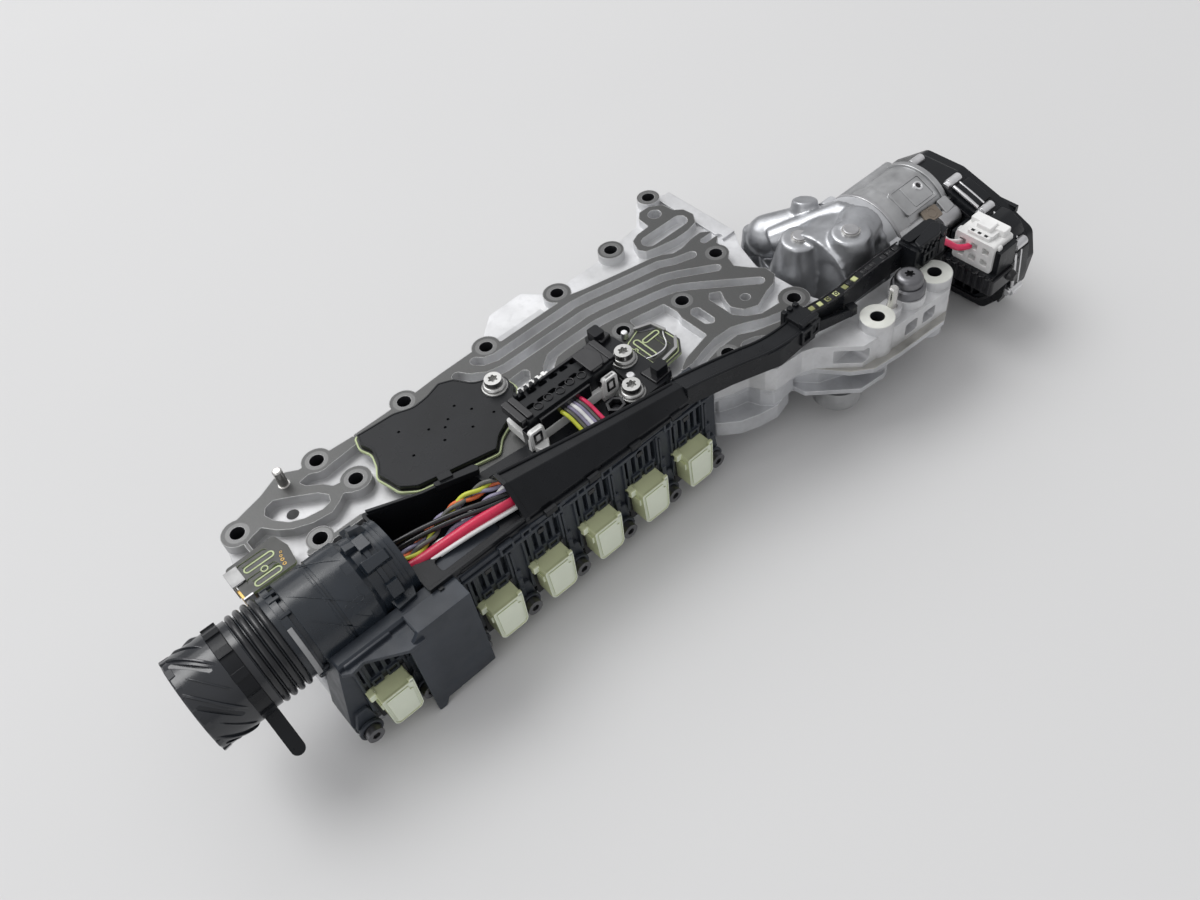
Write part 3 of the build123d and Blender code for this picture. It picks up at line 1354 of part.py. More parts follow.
# Wires, each along its real route: (points, diameter)
harness_routes = [
    ([(6, -96, -4), (22, -97, -2.5), (40, -99.5, 6), (62, -107, 6.2), (90, -113.5, 6.5)], 6.5),
    ([(6, -101, -3), (22, -102, 1), (32, -105, 4.5), (60, -113, 5.2), (90, -119.5, 5.5)], 3.0),
    ([(6, -84, -2), (30, -86, 0), (58, -95, 3.5), (78, -104, 3.5), (90, -104.5, 3.5)], 3.0),
    ([(6, -84, 3), (30, -86, 5), (58, -95, 8.2), (78, -104, 8.6), (90, -105, 8.6)], 3.0),
    ([(6, -90, 8), (30, -91, 9), (58, -100, 14.5), (77, -107.2, 14.8), (90, -108.4, 14.8)], 9.0),
]
plug_lead_xs = [146.0, 150.0, 154.0, 158.0]
plug_lead_d = 2.4
motor_lead_d = 2.6
motor_routes = [
    [(414, -146, 8), (420, -146, 8), (427, -152, -6), (432, -158, -8), (436, -158, -8)],
    [(414, -151, 6), (419, -151, 6), (425, -158, -10), (431, -166, -12), (436, -166, -12)],
]


def cover_wall_y(x):
    """Y of the tray cover's far wall at x."""
    start, end = tray_cover_x
    return (cover_profile_left[-1][0]
            + (cover_profile_right[-1][0] - cover_profile_left[-1][0]) * (x - start) / (end - start))


def lead_shape(points, thick):
    """One lead: a round section along its route."""
    with BuildPart() as lead:
        with BuildLine() as route:
            add(lead_path(points))
        with BuildSketch(Plane(origin=route.line @ 0, z_dir=route.line % 0)):
            Circle(thick / 2)
        sweep()
    return lead.part


with BuildPart() as harness_leads:
    for points, thick in harness_routes:
        add(lead_shape(points, thick))
keep(harness_leads, "harness_leads")

with BuildPart() as plug_leads:
    for x in plug_lead_xs:
        end_y = cover_wall_y(x)
        points = [(x, block_y - 11, 16), (x, block_y - 17, 16), (x - 1, end_y + 7, 10.5),
                  (x - 2, end_y + 0.5, 10)]
        add(lead_shape(points, plug_lead_d))
keep(plug_leads, "plug_leads")

with BuildPart() as motor_leads:
    for points in motor_routes:
        add(lead_shape(points, motor_lead_d))
keep(motor_leads, "motor_leads")
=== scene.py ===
"""Looks of the transmission valve body: materials, wires, pump casting and small details."""
import math
import random

import bmesh
import bpy
from mathutils import Matrix, Vector


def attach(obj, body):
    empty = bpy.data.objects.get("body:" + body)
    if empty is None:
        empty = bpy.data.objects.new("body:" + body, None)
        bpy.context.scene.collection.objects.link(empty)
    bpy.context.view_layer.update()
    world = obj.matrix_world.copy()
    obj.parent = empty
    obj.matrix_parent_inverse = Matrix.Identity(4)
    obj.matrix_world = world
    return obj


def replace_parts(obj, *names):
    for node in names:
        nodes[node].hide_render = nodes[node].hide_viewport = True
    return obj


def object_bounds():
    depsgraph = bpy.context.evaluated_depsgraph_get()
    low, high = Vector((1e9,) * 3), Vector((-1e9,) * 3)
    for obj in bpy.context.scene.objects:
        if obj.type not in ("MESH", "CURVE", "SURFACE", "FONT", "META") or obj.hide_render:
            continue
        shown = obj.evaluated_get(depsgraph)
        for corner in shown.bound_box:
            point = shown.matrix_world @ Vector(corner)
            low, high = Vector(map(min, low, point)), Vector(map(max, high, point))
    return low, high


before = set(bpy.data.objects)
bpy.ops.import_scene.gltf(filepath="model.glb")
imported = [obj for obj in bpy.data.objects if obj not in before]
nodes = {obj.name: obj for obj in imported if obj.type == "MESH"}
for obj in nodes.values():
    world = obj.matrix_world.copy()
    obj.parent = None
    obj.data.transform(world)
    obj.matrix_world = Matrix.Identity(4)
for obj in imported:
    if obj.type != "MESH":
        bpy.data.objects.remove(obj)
cad_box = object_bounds()
ROOT = "valve_body"
scene = bpy.context.scene
MM = 0.001
BEVEL_FROM = math.radians(35)


def mm(*values):
    """A point given in millimetres."""
    return Vector(values) * MM


def fill(thing, **fields):
    """Sets several fields of the thing."""
    for key, value in fields.items():
        setattr(thing, key, value)
    return thing


def add_object(name, data):
    obj = bpy.data.objects.new(name, data)
    scene.collection.objects.link(obj)
    return obj


# --- camera
eye = mm(-65.66, -441.81, 467.83)
look = Vector((0.35008, 0.53355, -0.76991)).normalized()
up = Vector((0.56472, 0.53555, 0.62792)).normalized()
right = look.cross(up).normalized()
up = right.cross(look).normalized()
cam_data = fill(bpy.data.cameras.new("camera"), sensor_width=36, lens=31.4, clip_start=0.02, clip_end=60)
cam = add_object("camera", cam_data)
cam.matrix_world = Matrix.Translation(eye) @ Matrix((right, up, -look)).transposed().to_4x4()
scene.camera = cam
scene.view_settings.view_transform = "Standard"


# --- material tools
class Nodes:
    """The node tree of a material or of the world."""

    def __init__(self, owner):
        owner.use_nodes = True
        self.tree = owner.node_tree
        self.tree.nodes.clear()

    def put(self, socket, value):
        """Links another node's output or sets a plain value; a colour gets its alpha here."""
        if isinstance(value, bpy.types.NodeSocket):
            self.tree.links.new(value, socket)
        else:
            socket.default_value = (*value, 1.0) if socket.type == "RGBA" else value

    def add(self, kind, *values, **fields):
        """A new node with the values in its first inputs."""
        node = fill(self.tree.nodes.new("ShaderNode" + kind), **fields)
        for socket, value in zip(node.inputs, values):
            self.put(socket, value)
        return node


class Maker(Nodes):
    """Builds one node material step by step."""

    def __init__(self, name):
        self.mat = bpy.data.materials.new(name)
        super().__init__(self.mat)
        self.bsdf = self.add("BsdfPrincipled")
        self.add("OutputMaterial", self.bsdf.outputs[0])
        self.coords = self.add("TexCoord").outputs["Object"]
        self.normal = None

    def math(self, op, a, b=0.0):
        return self.add("Math", a, b, operation=op).outputs[0]

    def noise(self, scale, detail=2.0, rough=0.5, stretch=None):
        """Noise between 0 and 1; scale is in features per metre."""
        node = self.add("TexNoise")
        source = self.coords
        if stretch:
            mapping = self.add("Mapping", source)
            mapping.inputs["Scale"].default_value = stretch
            source = mapping.outputs[0]
        for key, value in (("Vector", source), ("Scale", scale), ("Detail", detail), ("Roughness", rough)):
            self.put(node.inputs[key], value)
        return node.outputs["Fac"]

    def span(self, value, low, high, to_low=0.0, to_high=1.0):
        return self.add("MapRange", value, low, high, to_low, to_high).outputs[0]

    def cloud(self, scale, detail, low, high, to_low=0.0, to_high=1.0, **more):
        """Noise whose values from low to high fill the range from to_low to to_high."""
        return self.span(self.noise(scale, detail, **more), low, high, to_low, to_high)

    def mix(self, factor, a, b):
        node = self.add("Mix", factor, data_type="RGBA")
        self.put(node.inputs[6], a)
        self.put(node.inputs[7], b)
        return node.outputs[2]

    def round_normal(self, radius):
        return self.add("Bevel", radius, samples=4).outputs[0]

    def bevel(self, radius):
        """Rounded-edge normal, used as the base of later bumps."""
        self.normal = self.round_normal(radius)

    def edge(self, radius, low=0.03, high=0.3):
        """Mask that is 1 on edges and 0 on flat faces."""
        normal = self.add("NewGeometry").outputs["Normal"]
        dot = self.add("VectorMath", self.round_normal(radius), normal, operation="DOT_PRODUCT")
        return self.span(self.math("SUBTRACT", 1.0, dot.outputs["Value"]), low, high)

    def facing(self):
        """The x, y and z parts of each face's own direction."""
        normal = self.add("NewGeometry").outputs["True Normal"]
        return self.add("SeparateXYZ", normal).outputs

    def bump(self, height, strength, distance):
        node = self.add("Bump", strength, distance)
        self.put(node.inputs["Height"], height)
        if self.normal is not None:
            self.put(node.inputs["Normal"], self.normal)
        self.normal = node.outputs[0]

    def done(self, colour, rough, metal=0.0, **extra):
        extra.update(Base_Color=colour, Roughness=rough, Metallic=metal)
        if self.normal is not None:
            extra["Normal"] = self.normal
        for name, value in extra.items():
            self.put(self.bsdf.inputs[name.replace("_", " ")], value)
        return self.mat


def shade(colour, gain):
    """The colour made darker or lighter."""
    return [min(1.0, c * gain) for c in colour]


def moulded(name, colour, rough, grain=900.0, depth=0.00006, edge_highlight_gain=1.6, bevel=0.0005, shine=0.5):
    """Moulded plastic: fine grain, soft mottling, and a painted highlight that lightens the rounded edges."""
    m = Maker(name)
    m.bevel(bevel)
    m.bump(m.noise(grain, 3.0), 0.35, depth)
    m.bump(m.noise(55, 3.0), 0.12, 0.0006)
    base = m.mix(m.cloud(38, 4.0, 0.35, 0.7), shade(colour, 0.82), shade(colour, 1.2))
    # Painted highlight: the rounded edges are lightened by the given gain.
    base = m.mix(m.math("MULTIPLY", m.edge(0.0008), 0.55), base, shade(colour, edge_highlight_gain))
    return m.done(base, m.cloud(120, 4.0, 0.3, 0.7, rough - 0.06, rough + 0.08), Specular_IOR_Level=shine)


def plain_metal(name, colour, rough, grain=1400.0, depth=0.00003):
    m = Maker(name)
    m.bevel(0.0003)
    m.bump(m.noise(grain, 3.0), 0.3, depth)
    base = m.mix(m.cloud(60, 4.0, 0.3, 0.7), shade(colour, 0.8), shade(colour, 1.12))
    return m.done(base, m.cloud(200, 4.0, 0.3, 0.7, rough - 0.07, rough + 0.09), 1.0)


# Holes of the bosses on the machined face, and where its bare pump flange begins, in millimetres
BOSS_HOLES = [(-38, -11.5), (23.5, 1), (33, -28.5), (-5, -50), (88, 1), (152.5, 0.5), (216, 5), (269, 10.5),
              (325, 33), (314, -46), (316, -114), (266.5, -62.5), (222, -54.5), (253, -117.5),
              (337.5, -163.4), (392.6, -163.8)]
BOSS_HOLE_R = 4.56
BOSS_TURNED_R = 7.2
FLANGE_FROM_X = 320.5
FLANGE_TO_Y = -145


def cast_metal(name, lands=False, tone=(0.66, 0.67, 0.69), rough=0.45, metal=0.7):
    """Die-cast aluminium with a painted edge highlight; with lands, faces level with the machined plane are
    painted dark as a reflection, and scratched.
    """
    m = Maker(name)
    m.bevel(0.0007)
    m.bump(m.noise(420, 4.0, 0.6), 0.30, 0.00022)
    m.bump(m.noise(1500, 2.0), 0.22, 0.00008)
    base = m.mix(m.cloud(26, 5.0, 0.33, 0.68, rough=0.6), shade(tone, 0.72), tone)
    base = m.mix(m.cloud(160, 3.0, 0.52, 0.75, 0.0, 0.35), base, shade(tone, 0.6))
    # Painted highlight: edges are lightened towards pale grey.
    base = m.mix(m.math("MULTIPLY", m.edge(0.0012), 0.7), base, (0.9, 0.9, 0.91))
    roughness = m.cloud(90, 4.0, 0.3, 0.7, rough - 0.08, rough + 0.12)
    if lands:
        base = m.mix(m.cloud(14, 5.0, 0.36, 0.62, 0.0, 0.3, rough=0.65), base, (0.5, 0.5, 0.49))
        x, y, z = m.add("SeparateXYZ", m.coords).outputs
        upward = m.math("GREATER_THAN", m.facing()[2], 0.9)
        flange = m.math("MULTIPLY", m.math("GREATER_THAN", x, FLANGE_FROM_X * MM),
                        m.math("LESS_THAN", y, FLANGE_TO_Y * MM))
        top = m.math("MULTIPLY", m.math("GREATER_THAN", z, -0.0002), upward)
        top = m.math("MULTIPLY", top, m.math("SUBTRACT", 1.0, flange))
        scratch = m.cloud(900, 4.0, 0.35, 0.65, rough=0.6, stretch=(1.0, 14.0, 1.0))
        # Painted reflection: the machined lands get a dark tone that stands in for the dark surroundings they
        # mirror; the scratches are real.
        land = m.mix(scratch, (0.068, 0.07, 0.07), (0.13, 0.13, 0.128))
        land = m.mix(m.cloud(30, 4.0, 0.4, 0.7, 0.0, 0.5), land, (0.09, 0.09, 0.088))
        # Painted highlight: the edges of the lands are lightened.
        land = m.mix(m.edge(0.001, 0.02, 0.16), land, (0.75, 0.75, 0.75))
        reach = None
        for bx, by in BOSS_HOLES:
            shift = m.add("VectorMath", m.coords, (1, 1, 0), (-bx * MM, -by * MM, 0),
                          operation="MULTIPLY_ADD")
            gap = m.add("VectorMath", shift.outputs[0], operation="LENGTH").outputs["Value"]
            reach = gap if reach is None else m.math("MINIMUM", reach, gap)
        rings = m.span(m.math("SINE", m.math("MULTIPLY", reach, 16000.0)), -1.0, 1.0, 0.1, 0.55)
        turned = m.math("MULTIPLY", m.math("LESS_THAN", reach, BOSS_TURNED_R * MM), rings)
        land = m.mix(turned, land, (0.3, 0.3, 0.3))
        # Painted shade: the casting is darkened towards its left end.
        base = m.mix(m.span(x, -0.06, 0.17, 0.6, 0.0), base, (0.33, 0.33, 0.335))
        base = m.mix(top, base, land)
        # Painted shade: the insides of the boss holes are painted dark.
        base = m.mix(m.math("LESS_THAN", reach, BOSS_HOLE_R * MM), base, (0.05, 0.052, 0.058))
        roughness = m.span(top, 0.0, 1.0, roughness, 0.44)
    return m.done(base, roughness, metal)


def cap_plastic(name, pale, deep):
    """Cap plastic: the label side is paler than the other sides."""
    m = Maker(name)
    m.bevel(0.0005)
    m.bump(m.noise(900, 3.0), 0.25, 0.00005)
    mottle = m.cloud(45, 4.0, 0.35, 0.7)
    tone = m.mix(m.math("LESS_THAN", m.facing()[1], -0.75), m.mix(mottle, shade(deep, 0.85), deep),
                 m.mix(mottle, shade(pale, 0.93), pale))
    return m.done(tone, m.cloud(150, 3.0, 0.3, 0.7, 0.36, 0.5))


def board_look(name, top_tone):
    """Dark solder mask on the faces, pale green at the sawn edges."""
    m = Maker(name)
    m.bump(m.noise(700, 3.0), 0.2, 0.00003)
    dark = m.mix(m.cloud(60, 3.0, 0.35, 0.7), top_tone, shade(top_tone, 1.5))
    edge = m.mix(m.cloud(90, 3.0, 0.35, 0.7), (0.42, 0.5, 0.26), (0.58, 0.66, 0.4))
    flat_face = m.math("GREATER_THAN", m.math("ABSOLUTE", m.facing()[2]), 0.9)
    return m.done(m.mix(flat_face, edge, dark), m.cloud(200, 3.0, 0.3, 0.7, 0.3, 0.42))


# --- materials; the tables say name, colour, roughness and perhaps grain per metre, grain depth, painted edge highlight gain
FINE = (900, 0.00006)
LOOKS = {"cast_aluminium": cast_metal("cast_aluminium_look")}
for name, *how in (
    ("plate_steel", (0.5, 0.49, 0.46), 0.4),
    ("steel", (0.62, 0.61, 0.59), 0.25),
    ("dark_steel", (0.2, 0.2, 0.21), 0.34),
    ("spring_steel", (0.45, 0.45, 0.46), 0.3),
    ("magnet", (0.12, 0.12, 0.13), 0.45),
    ("can_aluminium", (0.5, 0.505, 0.51), 0.42, 700, 0.00008),
    ("contact_brass", (0.75, 0.6, 0.32), 0.25),
    ("bolt_head", (0.5, 0.5, 0.49), 0.33),
    ("clip_sheet", (0.34, 0.34, 0.34), 0.55),
    ("silver_clip", (0.78, 0.78, 0.79), 0.36),
    ("grey_band", (0.5, 0.5, 0.51), 0.4, 800, 0.00005),
    ("gold_pad", (0.5, 0.33, 0.12), 0.45),
):
    LOOKS[name] = plain_metal(name + "_look", *how)
for name, *how in (
    ("green_plastic", (0.58, 0.63, 0.43), 0.4, *FINE, 1.15),
    ("coil_plastic", (0.02, 0.021, 0.023), 0.5),
    ("white_plastic", (0.78, 0.78, 0.77), 0.38, *FINE, 1.05),
    ("board_green", (0.36, 0.42, 0.22), 0.45, *FINE, 1.1),
    ("seal_rubber", (0.01, 0.011, 0.013), 0.24, 600, 0.00002),
    ("lead_insulation", (0.02, 0.02, 0.02), 0.4),
    ("thin_lead_insulation", (0.3, 0.3, 0.3), 0.4),
    ("board_edge", (0.52, 0.6, 0.33), 0.45, *FINE, 1.1),
    ("gloss_black", (0.008, 0.008, 0.01), 0.2, 300, 0.00001),
    ("grey_strip", (0.27, 0.275, 0.28), 0.45, *FINE, 1.1),
    ("brown_patch", (0.2, 0.165, 0.13), 0.55, 500, 0.00015, 1.15),
    ("olive_inlay", (0.27, 0.28, 0.11), 0.45, *FINE, 1.3),
    ("bright_olive", (0.62, 0.66, 0.32), 0.4, *FINE, 1.1),
    ("orange_bit", (0.6, 0.09, 0.02), 0.4, *FINE, 1.1),
    ("flange_ring", (0.72, 0.73, 0.68), 0.4, 900, 0.00004, 1.1),
):
    LOOKS[name] = moulded(name + "_look", *how)
for name, colour, rough in (
    ("crimson", (0.62, 0.02, 0.075), 0.3),
    ("pink", (0.75, 0.035, 0.12), 0.32),
    ("white_wire", (0.85, 0.85, 0.84), 0.35),
    ("black_wire", (0.012, 0.012, 0.014), 0.26),
    ("yellow_wire", (0.58, 0.62, 0.06), 0.35),
    ("orange_wire", (0.75, 0.16, 0.05), 0.36),
    ("grey_wire", (0.11, 0.11, 0.10), 0.36),
    ("violet_wire", (0.27, 0.25, 0.36), 0.36),
    ("blue_wire", (0.03, 0.055, 0.10), 0.3),
):
    LOOKS[name] = moulded(name + "_look", colour, rough, 500, 0.00002, 1.1, 0.0)
# The edge gains below set how strong the painted edge highlight is on each look.
BLACK = LOOKS["black_plastic"] = moulded("black_plastic_look", (0.009, 0.01, 0.012), 0.3, shine=0.24)
CARRIER = LOOKS["carrier_plastic"] = moulded(
    "carrier_plastic_look", (0.03, 0.036, 0.046), 0.38, edge_highlight_gain=2.4, shine=0.38)
SLEEVE = LOOKS["sleeve_plastic"] = moulded(
    "sleeve_plastic_look", (0.012, 0.017, 0.024), 0.25, 1300, 0.00003, 2.2, shine=0.6)
CAP = cap_plastic("cap_look", (0.8, 0.85, 0.7), (0.62, 0.66, 0.4))
BARREL = moulded("barrel_look", (0.009, 0.011, 0.015), 0.2, 500, 0.00005, 3.5, shine=0.7)
BOARD = board_look("sensor_board_look", (0.02, 0.021, 0.018))
CAST = cast_metal("pump_cast_look", tone=(0.5, 0.51, 0.53), rough=0.36, metal=0.95)
FACE = cast_metal("casting_face_look", lands=True, tone=(0.77, 0.775, 0.79), rough=0.47, metal=0.62)
WHITE = LOOKS["white_plastic"]
GLOSS = LOOKS["gloss_black"]
SILVER = LOOKS["silver_clip"]
GOLD = LOOKS["gold_pad"]
BAND = LOOKS["grey_band"]
BOLT = LOOKS["bolt_head"]

for obj in nodes.values():
    for place in obj.material_slots:
        key = place.material.name.split(".")[0] if place.material else None
        place.material = LOOKS.get(key, place.material)
for material, *names in (
    (FACE, "channel_casting"), (LOOKS["clip_sheet"], "board_clips"), (CAP, "solenoid_caps"),
    (BOLT, "face_bolts", "bolt_washers"), (BARREL, "connector_barrel"),
    (BOARD, "left_sensor_board", "right_sensor_board", "control_board"),
):
    for name in names:
        for place in nodes[name].material_slots:
            place.material = material


# --- mesh tools
def flat(u, v, w):
    """Outline in the horizontal plane, w is the height."""
    return (u, v, w)


def front(u, v, w):
    """Outline in x and z, seen from the solenoid side; w is y."""
    return (u, w, v)


def side(u, v, w):
    """Outline in y and z, seen along the length; w is x."""
    return (w, u, v)


def rounded(outline, radius, steps=4):
    """The outline with each corner replaced by a short arc."""
    points = []
    count = len(outline)
    for k in range(count):
        before, corner, after = (Vector(outline[(k + d) % count]) for d in (-1, 0, 1))
        first = before - corner
        second = after - corner
        reach = min(radius, 0.45 * first.length, 0.45 * second.length)
        start = corner + first.normalized() * reach
        end = corner + second.normalized() * reach
        for s in range(steps + 1):
            t = s / steps
            points.append(tuple((1 - t) ** 2 * start + 2 * t * (1 - t) * corner + t * t * end))
    return points


def rect(u0, v0, u1, v1, radius=0.0):
    corners = [(u0, v0), (u1, v0), (u1, v1), (u0, v1)]
    return rounded(corners, radius) if radius else corners


def rotated(points, u, v, turn):
    """The points turned about the origin and then moved to u, v."""
    c, s = math.cos(turn), math.sin(turn)
    return [(u + c * a - s * b, v + s * a + c * b) for a, b in points]


def disc(u, v, radius, sides=28):
    angles = [math.tau * k / sides for k in range(sides)]
    return [(u + radius * math.cos(a), v + radius * math.sin(a)) for a in angles]


def slot_shape(u, v, length, width, turn=0.0, sides=8):
    """Outline of a slot with round ends."""
    points = []
    half = (length - width) / 2
    for end in (0, 1):
        for k in range(sides + 1):
            a = -math.pi / 2 + math.pi * k / sides + math.pi * end
            points.append((half * (1 - 2 * end) + width / 2 * math.cos(a), width / 2 * math.sin(a)))
    return rotated(points, u, v, turn)


def frame_of(axis):
    """Two unit vectors square to the axis."""
    axis = axis.normalized()
    first = axis.cross(Vector((0, 0, 1)))
    if first.length < 0.1:
        first = axis.cross(Vector((1, 0, 0)))
    first.normalize()
    return first, axis.cross(first).normalized()


def circle(centre, a, b, radius, sides):
    """Points round the centre, in the plane of the unit vectors a and b."""
    angles = [math.tau * k / sides for k in range(sides)]
    return [centre + (a * math.cos(t) + b * math.sin(t)) * radius for t in angles]


def carried(path):
    """Each point of the path with two unit vectors square to the path, carried along without twist."""
    a, _ = frame_of(path[1] - path[0])
    for k, point in enumerate(path):
        ahead = (path[min(k + 1, len(path) - 1)] - path[max(k - 1, 0)]).normalized()
        a = (a - ahead * a.dot(ahead)).normalized()
        yield point, a, ahead.cross(a)


class Solid:
    """Collects closed bodies in one mesh. Lengths are in millimetres."""

    def __init__(self, place=flat):
        self.bm = bmesh.new()
        self.slot = 0
        self.place = place

    def skin(self, rings, loop=False):
        """Quads between rings of points; ends are capped unless the rings form a loop."""
        rows = [[self.bm.verts.new(mm(*p)) for p in ring] for ring in rings]
        count = len(rows[0])
        pairs = list(zip(rows, rows[1:]))
        if loop:
            pairs.append((rows[-1], rows[0]))
        made = [self.bm.faces.new((a[k], a[(k + 1) % count], b[(k + 1) % count], b[k]))
                for a, b in pairs for k in range(count)]
        if not loop:
            made += [self.bm.faces.new(rows[0][::-1]), self.bm.faces.new(rows[-1])]
        for face in made:
            face.material_index = self.slot

    def prism(self, outline, low, high, inset=0.0, place=None):
        """Outline extruded from low to high; inset gives the far end a chamfer of that size."""
        place = place or self.place
        rings = [[place(u, v, low) for u, v in outline]]
        if inset:
            cu = sum(p[0] for p in outline) / len(outline)
            cv = sum(p[1] for p in outline) / len(outline)
            shrink = 1 - inset / max(math.hypot(u - cu, v - cv) for u, v in outline)
            step = inset if high > low else -inset
            rings.append([place(u, v, high - step) for u, v in outline])
            outline = [(cu + (u - cu) * shrink, cv + (v - cv) * shrink) for u, v in outline]
        rings.append([place(u, v, high) for u, v in outline])
        self.skin(rings)

    def plates(self, radius, *rows):
        """Rounded rectangular plates; a row is u0, v0, u1, v1, low, high."""
        for *corners, low, high in rows:
            self.prism(rect(*corners, radius), low, high)

    def slabs(self, *rows):
        """Plates with other outlines; a row is outline, corner radius, low, high and perhaps an inset."""
        for outline, radius, *how in rows:
            self.prism(rounded(outline, radius), *how)

    def band(self, outer, inner, low, high, place=None):
        """Closed wall between two outlines that have the same number of points."""
        place = place or self.place
        stops = ((outer, low), (outer, high), (inner, high), (inner, low))
        self.skin([[place(u, v, w) for u, v in outline] for outline, w in stops], loop=True)

    def ring(self, u, v, outer, inner, low, high, sides=28, place=None):
        """Closed wall between two circles."""
        self.band(disc(u, v, outer, sides), disc(u, v, inner, sides), low, high, place)

    def box(self, low, high):
        self.prism(rect(*low[:2], *high[:2]), low[2], high[2], place=flat)

    def rod(self, start, end, radius, end_radius=None, sides=24, chamfer=0.0):
        start, end = Vector(start), Vector(end)
        length = (end - start).length
        end_radius = radius if end_radius is None else end_radius
        stops = [(0.0, radius), (length - chamfer, end_radius)]
        if chamfer:
            stops.append((length, end_radius - chamfer))
        self.lathe(start, end - start, stops, sides)

    def lathe(self, start, along, stops, sides=32, loop=False):
        """Body of revolution; stops are (distance along the axis, radius)."""
        start, along = Vector(start), Vector(along).normalized()
        a, b = frame_of(along)
        self.skin([circle(start + along * distance, a, b, radius, sides) for distance, radius in stops], loop)

    def ball(self, centre, radius, sides=24, rings=12):
        angles = [math.pi * min(max(k, 0.35), rings - 0.35) / rings for k in range(rings + 1)]
        self.lathe(centre, (0, 0, 1), [(-radius * math.cos(a), radius * math.sin(a)) for a in angles], sides)

    def sweep(self, path, radius, sides=12):
        """Round tube along a dense path, with rounded-off ends."""
        path = [Vector(p) for p in path]
        sizes = [radius * 0.8] + [radius] * (len(path) - 2) + [radius * 0.8]
        self.skin([circle(*stop, size, sides) for stop, size in zip(carried(path), sizes)])

    def line(self, start, end, radius, sides):
        """Straight tube with a stop half way."""
        middle = [(a + b) / 2 for a, b in zip(start, end)]
        self.sweep([start, middle, end], radius, sides)

    def done(self, name, materials, bevel=0.0, smooth=38, segments=2, remesh=0.0, relax=0):
        bmesh.ops.recalc_face_normals(self.bm, faces=self.bm.faces)
        mesh = bpy.data.meshes.new(name)
        self.bm.to_mesh(mesh)
        self.bm.free()
        for material in materials if isinstance(materials, list) else [materials]:
            mesh.materials.append(material)
        for face in mesh.polygons:
            face.use_smooth = True
        obj = add_object(name, mesh)
        if remesh:
            tool = obj.modifiers.new("remesh", "REMESH")
            fill(tool, mode="VOXEL", voxel_size=remesh * MM, use_smooth_shade=True)
            fill(obj.modifiers.new("relax", "SMOOTH"), factor=0.5, iterations=relax)
        else:
            mesh.set_sharp_from_angle(angle=math.radians(smooth))
        if bevel:
            tool = obj.modifiers.new("bevel", "BEVEL")
            fill(tool, width=bevel * MM, segments=segments, limit_method="ANGLE", angle_limit=BEVEL_FROM)
        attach(obj, ROOT)
        return obj


def route(points, steps=10):
    """Points in millimetres along the smooth spline that has these control points."""
    curve = fill(bpy.data.curves.new("route", "CURVE"), dimensions="3D", resolution_u=steps)
    spline = curve.splines.new("NURBS")
    spline.points.add(len(points) - 1)
    for target, point in zip(spline.points, points):
        target.co = (*point, 1.0)
    fill(spline, order_u=3, use_endpoint_u=True)
    holder = bpy.data.objects.new("route", curve)
    mesh = bpy.data.meshes.new_from_object(holder)
    found = [v.co.copy() for v in mesh.vertices]
    bpy.data.objects.remove(holder)
    bpy.data.curves.remove(curve)
    bpy.data.meshes.remove(mesh)
    return found


def twisted(path, strand_r, pitch, turn):
    """Two paths that wind round each other along the given one."""
    pair = ([], [])
    run = 0.0
    last = path[0]
    for point, a, b in carried(path):
        run += (point - last).length
        last = point
        angle = turn + math.tau * run / pitch
        out = (a * math.cos(angle) + b * math.sin(angle)) * strand_r
        pair[0].append(point + out)
        pair[1].append(point - out)
    return pair


# --- wires in the tray
wires = Solid()
for wires.slot, radius, sides, points in (
    (0, 3.2, 20, [(6, -99, -3), (22, -103.5, -1), (46, -108.2, 4.5), (66, -111.2, 7), (90, -115, 8)]),
    (1, 1.5, 14, [(6, -103.5, -4), (22, -107, -1.5), (46, -112, 3.5), (66, -115, 5), (90, -118.5, 5)]),
    (2, 1.55, 14, [(6, -81, -1), (30, -89, 6), (58, -100.5, 11), (76, -108.5, 11.4), (90, -112.5, 11)]),
    (2, 1.55, 14, [(6, -84, -4.5), (30, -91.5, 4), (58, -103.2, 9), (76, -111.2, 9.8), (90, -114.5, 9.6)]),
    (7, 1.5, 12, [(60, -105.5, 1.5), (74, -107.5, 5.5), (90, -110.5, 8.5)]),
):
    wires.sweep(route(points), radius, sides)
STRAND_R = 1.3
STRAND_OFFSET = 1.35
STRAND_PITCH = 25.0
for slots, turn, points in (
    ((3, 4), 0.4, [(6, -95, -4), (24, -100, 1.5), (38, -99.5, 3), (52, -94, 5.5), (72, -95, 12),
                   (90, -102, 15.5)]),
    ((5, 6), 1.9, [(6, -89, -3), (22, -95.5, 0), (36, -93, -0.5), (52, -91.5, 4), (66, -94, 8.5),
                   (90, -104.5, 12.5)]),
    ((1, 6), 0.9, [(6, -92, -9), (24, -101, -4.5), (42, -103.5, 0.5), (60, -103, 3.5), (76, -105, 8.8),
                   (90, -108.5, 12.2)]),
):
    for wires.slot, strand in zip(slots, twisted(route(points, 14), STRAND_OFFSET, STRAND_PITCH, turn)):
        wires.sweep(strand, STRAND_R, 12)
wire_looks = [LOOKS[name] for name in (
    "crimson", "white_wire", "black_wire", "yellow_wire", "grey_wire", "orange_wire", "violet_wire",
    "blue_wire")]
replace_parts(wires.done("harness_wires", wire_looks, smooth=60), "harness_leads")

